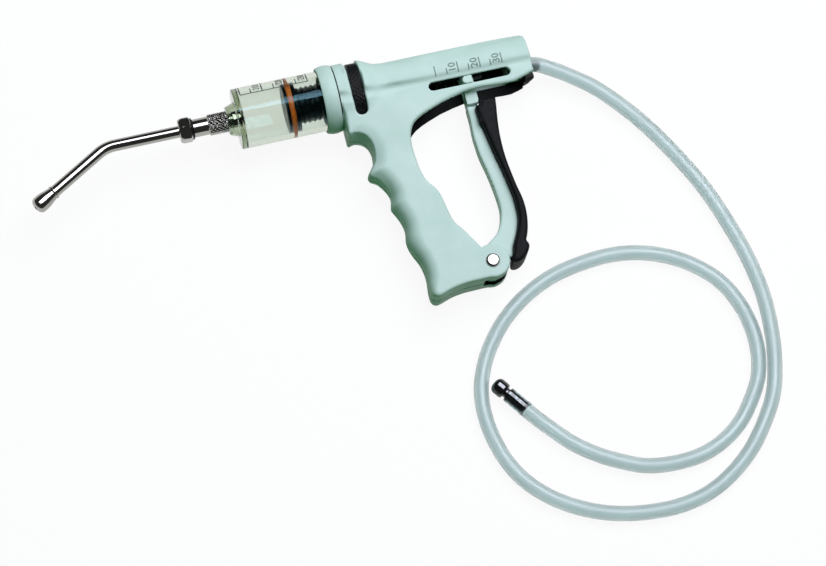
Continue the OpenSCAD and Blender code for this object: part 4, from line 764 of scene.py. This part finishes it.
wheelSet = {
    "band": (8.5, 14.0), "r": 18.6, "teeth": 42, "pitch": 2.8, "depth": 0.8, "crest": 0.8, "sides": 504, "steps": 56,
    "front": [(7.8, 11.05), (7.8, 17.5), (8.2, 17.9)], "rear": [(14.3, 17.9), (14.7, 17.5), (14.7, 11.05)],
}
makePiece("knurled_dose_wheel", *knurled(wheelSet), "dose_wheel", sharp=45)
print("piston and wheel made")

# lever, palm pad, crosshead and pivot: outlines in shares of the arm, from the pivot to the cross pin
leverFront = [
    (-0.036, 0.948), (-0.024, 0.864), (-0.018, 0.785), (-0.007, 0.715), (0.008, 0.645), (0.033, 0.567), (0.053, 0.498),
    (0.072, 0.418), (0.085, 0.349), (0.088, 0.309), (0.082, 0.258), (0.07, 0.217), (0.049, 0.175), (0.022, 0.147),
    (-0.015, 0.114), (-0.06, 0.06)]
leverBack = [
    (0.1, 0.03), (0.118, 0.03), (0.128, 0.045), (0.134, 0.09), (0.154, 0.143), (0.17, 0.194), (0.18, 0.255),
    (0.176, 0.325), (0.164, 0.395), (0.143, 0.474), (0.117, 0.563), (0.091, 0.641), (0.065, 0.73), (0.045, 0.799),
    (0.025, 0.868), (0.014, 0.918), (0.014, 0.934)]
leverSpur = [(0.04, 0.938), (0.038, 0.948)]
padBack = [
    (0.133, 0.981), (0.133, 0.927), (0.131, 0.846), (0.132, 0.766), (0.14, 0.676), (0.153, 0.596), (0.172, 0.517),
    (0.193, 0.438), (0.215, 0.369), (0.227, 0.31), (0.231, 0.25), (0.227, 0.189), (0.218, 0.142), (0.209, 0.112),
    (0.219, 0.092), (0.223, 0.075), (0.213, 0.046), (0.19, 0.012), (0.162, -0.009), (0.136, -0.015), (0.118, -0.008)]
padHeel, padTop = [(0.116, 0.006), (0.12, 0.018)], [(0.044, 0.974)]
leverSet = {
    "half": 5.0, "edge": 1.3, "step": 0.5, "low": (-12, -12, -6.5), "high": (21, 111, 6.5), "eyeR": 8.4, "eyeEdge": 0.6,
    "eyeBore": 4.47, "eyeBlend": 1.0, "shoulder": 5.4, "tongueHalf": 2.75, "tongueWide": 3.4, "tongueSunk": 0.5,
    "tonguePast": 5.0, "tongueEdge": 0.4, "slotR": 2.15, "slotHalf": 1.1, "steps": 5,
}
padSet = {
    "half": 11.0, "edge": 2.2, "step": 0.5, "low": (-2, -9, -12.5), "high": (26, 104.5, 12.5),
    "boxes": [
        ((0.5, 96.5, -10.5), (6.0, 100.7, -6.6), 0.8),  # lip behind the crosshead
        ((4.5, 90.0, -10.4), (9.0, 101.3, 10.4), 0.5),  # square front corner
        ((3.4, 88.0, 6.5), (9.0, 101.3, 10.4), 0.5),  # flange beside the crosshead
        ((2.2, 86.0, 6.5), (9.0, 97.4, 10.4), 0.5)],  # which reaches down beside the lever
}
frontLine, backLine, padLine = (catmull(line, leverSet["steps"]) for line in (leverFront, leverBack, padBack))
leverOutline = np.vstack([frontLine, backLine, leverSpur]) * gun["arm"]
padOutline = np.vstack([padLine, padHeel, backLine[leverSet["steps"]:], leverSpur[:1], padTop]) * gun["arm"]


def softBox(x, y, z, low, high, r):
    q = [np.abs(v - (a + b) / 2) - (b - a) / 2 + r for v, a, b in zip((x, y, z), low, high)]
    return np.sqrt(sum(np.maximum(v, 0) ** 2 for v in q)) + np.minimum(np.maximum(np.maximum(q[0], q[1]), q[2]), 0) - r


def fromLever(verts):  # arm frame, origin on the pivot, to the gun
    return spread(verts, (pivotX, pivotY, 0), -gun["armLean"])


(x, y, z), leverOrigin = fieldGrid(leverSet["low"], leverSet["high"], leverSet["step"])
leverD, _ = outlineField(x[:, :, 0], y[:, :, 0], leverOutline)
arm = roundedSlab(leverD[:, :, None], z, leverSet["half"], leverSet["edge"])
eye = roundedSlab(np.hypot(x, y) - leverSet["eyeR"], z, leverSet["half"], leverSet["eyeEdge"])
leverForm = blendUnion(arm, eye, leverSet["eyeBlend"])
shoulder = gun["arm"] - leverSet["shoulder"]
leverForm = np.maximum(leverForm, np.minimum(y - shoulder, np.abs(z) - leverSet["tongueHalf"]))
tongueD = np.maximum(np.abs(x) - leverSet["tongueWide"], shoulder - leverSet["tongueSunk"] - y)
tongueD = np.maximum(tongueD, y - gun["arm"] - leverSet["tonguePast"])
tongue = roundedSlab(tongueD, z, leverSet["tongueHalf"], leverSet["tongueEdge"])
leverForm = np.maximum(np.minimum(leverForm, tongue), leverSet["eyeBore"] - np.hypot(x, y))
pinSlot = np.hypot(x, np.maximum(np.abs(y - gun["arm"]) - leverSet["slotHalf"], 0)) - leverSet["slotR"]
leverVerts, leverFaces = netSurface(np.maximum(leverForm, -pinSlot), leverOrigin, leverSet["step"])
makePiece("squeeze_lever", fromLever(leverVerts), leverFaces, "lever")

(x, y, z), padOrigin = fieldGrid(padSet["low"], padSet["high"], padSet["step"])
padD, _ = outlineField(x[:, :, 0], y[:, :, 0], padOutline)
padForm = roundedSlab(padD[:, :, None], z, padSet["half"], padSet["edge"])
for low, high, edge in padSet["boxes"]:
    padForm = np.minimum(padForm, softBox(x, y, z, low, high, edge))
padVerts, padFaces = netSurface(padForm, padOrigin, padSet["step"])
makePiece("rubber_palm_pad", fromLever(padVerts), padFaces, "palm_pad")

crossSet = {
    "x": 74.5206, "length": 7.5, "r": 8.0, "drop": 23.2, "half": 6.0, "edge": 0.6, "step": 0.3, "bore": 4.52,
    "low": (73.5, -24.2, -13), "high": (83, 9, 13), "pointerLong": 6.0, "pointerHigh": 4.8, "pointerTop": 12.2,
    "pointerY": -9.4, "pointerEdge": 0.5, "forkHalf": 3.0, "forkTop": -12.0, "pinY": -19.0, "pinR": 2.02, "pinEnd": 4.8,
}
(x, y, z), crossOrigin = fieldGrid(crossSet["low"], crossSet["high"], crossSet["step"])
crossRho, crossX = np.hypot(y, z), crossSet["x"]
crossEnd = crossX + crossSet["length"]
crossForm = np.maximum(crossRho - crossSet["r"], np.maximum(crossX - x, x - crossEnd))
dropLow, dropHigh = (crossX, -crossSet["drop"], -crossSet["half"]), (crossEnd, 0, crossSet["half"])
crossForm = np.minimum(crossForm, softBox(x, y, z, dropLow, dropHigh, crossSet["edge"]))
noseR, aside = crossSet["pointerHigh"] / 2, y - crossSet["pointerY"]
roundNose = np.hypot(x - crossX - noseR, aside) - noseR
squareTail = np.maximum(np.abs(aside) - noseR, x - crossX - crossSet["pointerLong"])
pointer = np.where(x < crossX + noseR, roundNose, squareTail)
pointer = roundedSlab(pointer, z, crossSet["pointerTop"], crossSet["pointerEdge"])
crossForm = np.minimum(crossForm, np.maximum(pointer, -z))
crossForm = np.maximum(crossForm, crossSet["bore"] - crossRho)
crossForm = np.maximum(crossForm, -np.maximum(np.abs(z) - crossSet["forkHalf"], y - crossSet["forkTop"]))
pinHole = np.hypot(x - crossX - crossSet["length"] / 2, y - crossSet["pinY"]) - crossSet["pinR"]
crossForm = np.maximum(crossForm, -np.maximum(pinHole, z - crossSet["pinEnd"]))
crossMesh = netSurface(crossForm, crossOrigin, crossSet["step"])
makePiece("crosshead_with_pointer", *crossMesh, "crosshead")

# pivot pin: turned about its own axis, which runs across the gun
pinSet = {
    "sides": 64, "edge": 0.25,
    "profile": [
        (-14.3, 0.02), (-14.3, 2.5), (-13.9, 3.0), (12.5, 3.0), (12.5, 4.2), (13.0, 4.2), (13.75, 3.5), (13.95, 3.1),
        (14.1, 1.2), (14.1, 0.02)],
}
pinVerts, pinFaces = lathe(pinSet["profile"], pinSet["sides"], pinSet["edge"])
pinVerts = pinVerts[:, [1, 2, 0]] + (pivotX, pivotY, 0)
makePiece("pivot_pin_domed", pinVerts, pinFaces, "pivot_pin", sharp=40)

# springs: round wire on a helix, closing up towards the end that stays
coilSet = {"perTurn": 40, "sides": 14, "core": 0.02}
springSets = [
    {"name": "return_coil_spring", "node": "return_spring", "joint": "rod_slide", "ends": (46.58, 73.80),
     "stays": 45.96, "r": 7.0, "wire": 0.6, "turns": 5, "keep": 0.28},
    {"name": "outlet_coil_spring", "node": "outlet_valve_spring", "joint": "outlet_ball_lift",
     "ends": (-83.23, -74.14), "stays": -83.48, "r": 2.2, "wire": 0.25, "turns": 6, "keep": 0.775},
    {"name": "inlet_coil_spring", "node": "inlet_valve_spring", "joint": "inlet_disc_lift",
     "ends": (-31.05, -28.97), "stays": -31.27, "r": 3.0, "wire": 0.2, "turns": 2, "keep": 0.53},
]
for springSet in springSets:
    along = np.linspace(0, 1, coilSet["perTurn"] * springSet["turns"] + 1)
    around = along * springSet["turns"] * 2 * np.pi
    springX = springSet["ends"][0] + (springSet["ends"][1] - springSet["ends"][0]) * along
    springPath = np.stack([springX, springSet["r"] * np.cos(around), springSet["r"] * np.sin(around)], 1)
    springMesh = hollowTube(springPath, springSet["wire"], coilSet["core"], coilSet["sides"], (1, 0, 0))
    spring = makePiece(springSet["name"], *springMesh, springSet["node"])
    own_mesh(spring)
print("lever group made")

# scales: thin raised strips and numerals that follow the barrel and the spine of the body
scaleSets = [
    {"name": "barrel_dose_print", "r": barrelSet["r"], "lift": 0.06, "line": (-57.5, -16.5, 30.0), "width": 0.55,
     "long": [-57.5, -44.0, -30.0, -16.5], "short": [-51.0, -37.0, -23.5], "longArc": (30.0, 66.0),
     "shortArc": (30.0, 46.0), "numbers": [("10", -47.0, 51.0), ("20", -33.0, 51.0), ("30", -19.5, 51.0)],
     "high": 4.2, "material": screenInk, "slot": "black_plastic"},
    {"name": "body_dose_marks", "r": headSet["tailR"], "lift": 0.12, "line": None, "width": 0.7,
     "long": [59.5, 73.5, 87.0, 100.5], "short": [66.5, 80.0, 93.5], "longArc": (-15.5, 10.5),
     "shortArc": (-15.5, -1.5), "numbers": [("10", 70.3, -1.5), ("20", 83.8, -1.5), ("30", 97.3, -1.5)],
     "high": 4.4, "material": markPaint, "slot": "sea_green_plastic"},
]
fontSet = {"sizeShare": 1.38, "boldShare": 0.02, "curveSteps": 3}


def curvedStrip(x0, x1, arc, r, lift):  # a box bent round the axis, its angles counted from the near side upwards
    a = np.radians(np.linspace(*arc, max(3, int(abs(arc[1] - arc[0]) / 2))))
    xs, rs = np.array([x0, x1, x1, x0]), np.array([r - lift, r - lift, r + lift, r + lift])
    ring = [np.broadcast_to(xs, (len(a), 4)), np.outer(np.sin(a), rs), np.outer(np.cos(a), rs)]
    verts = np.stack(ring, -1).reshape(-1, 3)
    faces = np.vstack([gridFaces(len(a), 4, False), [[3, 2, 1, 0]], len(verts) - 4 + np.array([[0, 1, 2, 3]])])
    return verts, faces


def bentNumber(text, x, angle, high, r, lift):  # numerals with their tops to the nozzle, bent round the axis
    curve = bpy.data.curves.new("number", "FONT")
    curve.body, curve.size, curve.extrude = text, high * fontSet["sizeShare"], lift
    curve.resolution_u, curve.offset = fontSet["curveSteps"], fontSet["boldShare"] * high
    curve.align_x, curve.align_y = "CENTER", "CENTER"
    holder = addObject("number", curve)
    bpy.context.view_layer.update()
    flat = bpy.data.meshes.new_from_object(holder.evaluated_get(bpy.context.evaluated_depsgraph_get()))
    flat.calc_loop_triangles()
    across = np.empty(3 * len(flat.vertices), np.float32)
    flat.vertices.foreach_get("co", across)
    tris = np.empty(3 * len(flat.loop_triangles), np.int32)
    flat.loop_triangles.foreach_get("vertices", tris)
    bpy.data.objects.remove(holder)
    bpy.data.meshes.remove(flat)
    side, tall, out = across.reshape(-1, 3).astype(float).T
    a, rs = np.radians(angle) + side / r, r + out
    return np.stack([x - tall, np.sin(a) * rs, np.cos(a) * rs], 1), tris.reshape(-1, 3)[:, [0, 1, 2, 2]]


for scale in scaleSets:
    half, r, lift = scale["width"] / 2, scale["r"], scale["lift"]
    ticks = [(x, scale["longArc"]) for x in scale["long"]] + [(x, scale["shortArc"]) for x in scale["short"]]
    parts = [curvedStrip(x - half, x + half, arc, r, lift) for x, arc in ticks]
    if scale["line"]:
        x0, x1, at = scale["line"]
        edge = np.degrees(half / r)
        parts.append(curvedStrip(x0 - half, x1 + half, (at - edge, at + edge), r, lift))
    parts += [bentNumber(text, x, angle, scale["high"], r, lift) for text, x, angle in scale["numbers"]]
    starts = np.cumsum([0] + [len(verts) for verts, _ in parts])
    scaleVerts = np.vstack([verts for verts, _ in parts])
    scaleFaces = np.vstack([faces + start for (_, faces), start in zip(parts, starts)])
    makeMixed(scale["name"], scaleVerts, scaleFaces, scale["material"])
print("scales printed")

# floor, light and background
stageSet = {
    "floorHalf": 6.0, "fill": "#5cff88", "fillLevel": 0.1, "bounce": "#2a8a50", "paper": 0.9, "whiteShare": 0.92,
    "fallOff": {"From Min": 0.0, "From Max": 0.14, "To Min": 1.0, "To Max": 0.05},  # the backdrop, by its height
}


def seenRays(tree):  # 1 for what the camera sees, straight, mirrored or through clear walls
    rays = addNode(tree, "ShaderNodeLightPath").outputs
    seen = rays["Is Camera Ray"]
    for kind in ("Is Glossy Ray", "Is Transmission Ray"):
        seen = addNode(tree, "ShaderNodeMath", {"operation": "MAXIMUM"}, {0: seen, 1: rays[kind]}).outputs[0]
    return seen


floorMesh = bpy.data.meshes.new("floor")
floorCorners = [(-1, -1, 0), (1, -1, 0), (1, 1, 0), (-1, 1, 0)]
floorMesh.from_pydata((np.array(floorCorners) * stageSet["floorHalf"]).tolist(), [], [(0, 1, 2, 3)])
floor = addObject("floor", floorMesh)
# Pale floor: white paper where it is seen, keeping the shadow; what it throws back on the gun is a muted green
floorMaterial, tree, out, _ = newMaterial("pale_floor")
bounce = addNode(tree, "ShaderNodeBsdfDiffuse", {"Color": linear(stageSet["bounce"])})
paper = addNode(tree, "ShaderNodeBsdfDiffuse", {"Color": grey(stageSet["paper"])})
white = addNode(tree, "ShaderNodeEmission", {"Color": grey(1.0), "Strength": 1.0})
lit = addNode(tree, "ShaderNodeMixShader", {"Fac": stageSet["whiteShare"]}, {1: paper.outputs[0], 2: white.outputs[0]})
mixed = addNode(tree, "ShaderNodeMixShader", {}, {"Fac": seenRays(tree), 1: bounce.outputs[0], 2: lit.outputs[0]})
tree.links.new(mixed.outputs[0], out.inputs["Surface"])
floorMesh.materials.append(floorMaterial)

world = bpy.data.worlds.new("studio")
bpy.context.scene.world = world
world.use_nodes = True
tree = world.node_tree
tree.nodes.clear()
seen = seenRays(tree)
direction = addNode(tree, "ShaderNodeTexCoord")
height = addNode(tree, "ShaderNodeSeparateXYZ", {}, {0: direction.outputs["Generated"]})
backdrop = addNode(tree, "ShaderNodeMapRange", stageSet["fallOff"], {"Value": height.outputs["Z"]})
fillColours = {"data_type": "RGBA", 6: linear(stageSet["fill"]), 7: grey(1.0)}
fillColour = addNode(tree, "ShaderNodeMix", fillColours, {0: seen})
level = addNode(tree, "ShaderNodeMix", {2: stageSet["fillLevel"]}, {0: seen, 3: backdrop.outputs["Result"]})
sky = addNode(tree, "ShaderNodeBackground", {}, {"Color": fillColour.outputs[2], "Strength": level.outputs[0]})
tree.links.new(sky.outputs[0], addNode(tree, "ShaderNodeOutputWorld").inputs["Surface"])

lampSet = {
    "at": (0.58, 0.45, 1.43), "aim": (0.05, -0.02, 0.0), "size": (1.2, 1.4), "watts": 32.5,
    "colour": (0.96, 0.95, 1.07)}
lamp = bpy.data.lights.new("keySoftbox", "AREA")
lamp.shape, lamp.size, lamp.size_y, lamp.energy = "RECTANGLE", *lampSet["size"], lampSet["watts"]
lamp.color = lampSet["colour"]
lampObject = addObject("keySoftbox", lamp)
lampObject.visible_camera = False
lampObject.location = lampSet["at"]
lampObject.rotation_euler = (Vector(lampSet["aim"]) - Vector(lampSet["at"])).to_track_quat("-Z", "Y").to_euler()
bpy.context.scene.view_settings.view_transform = "Standard"
print("stage set")

bpy.context.view_layer.update()
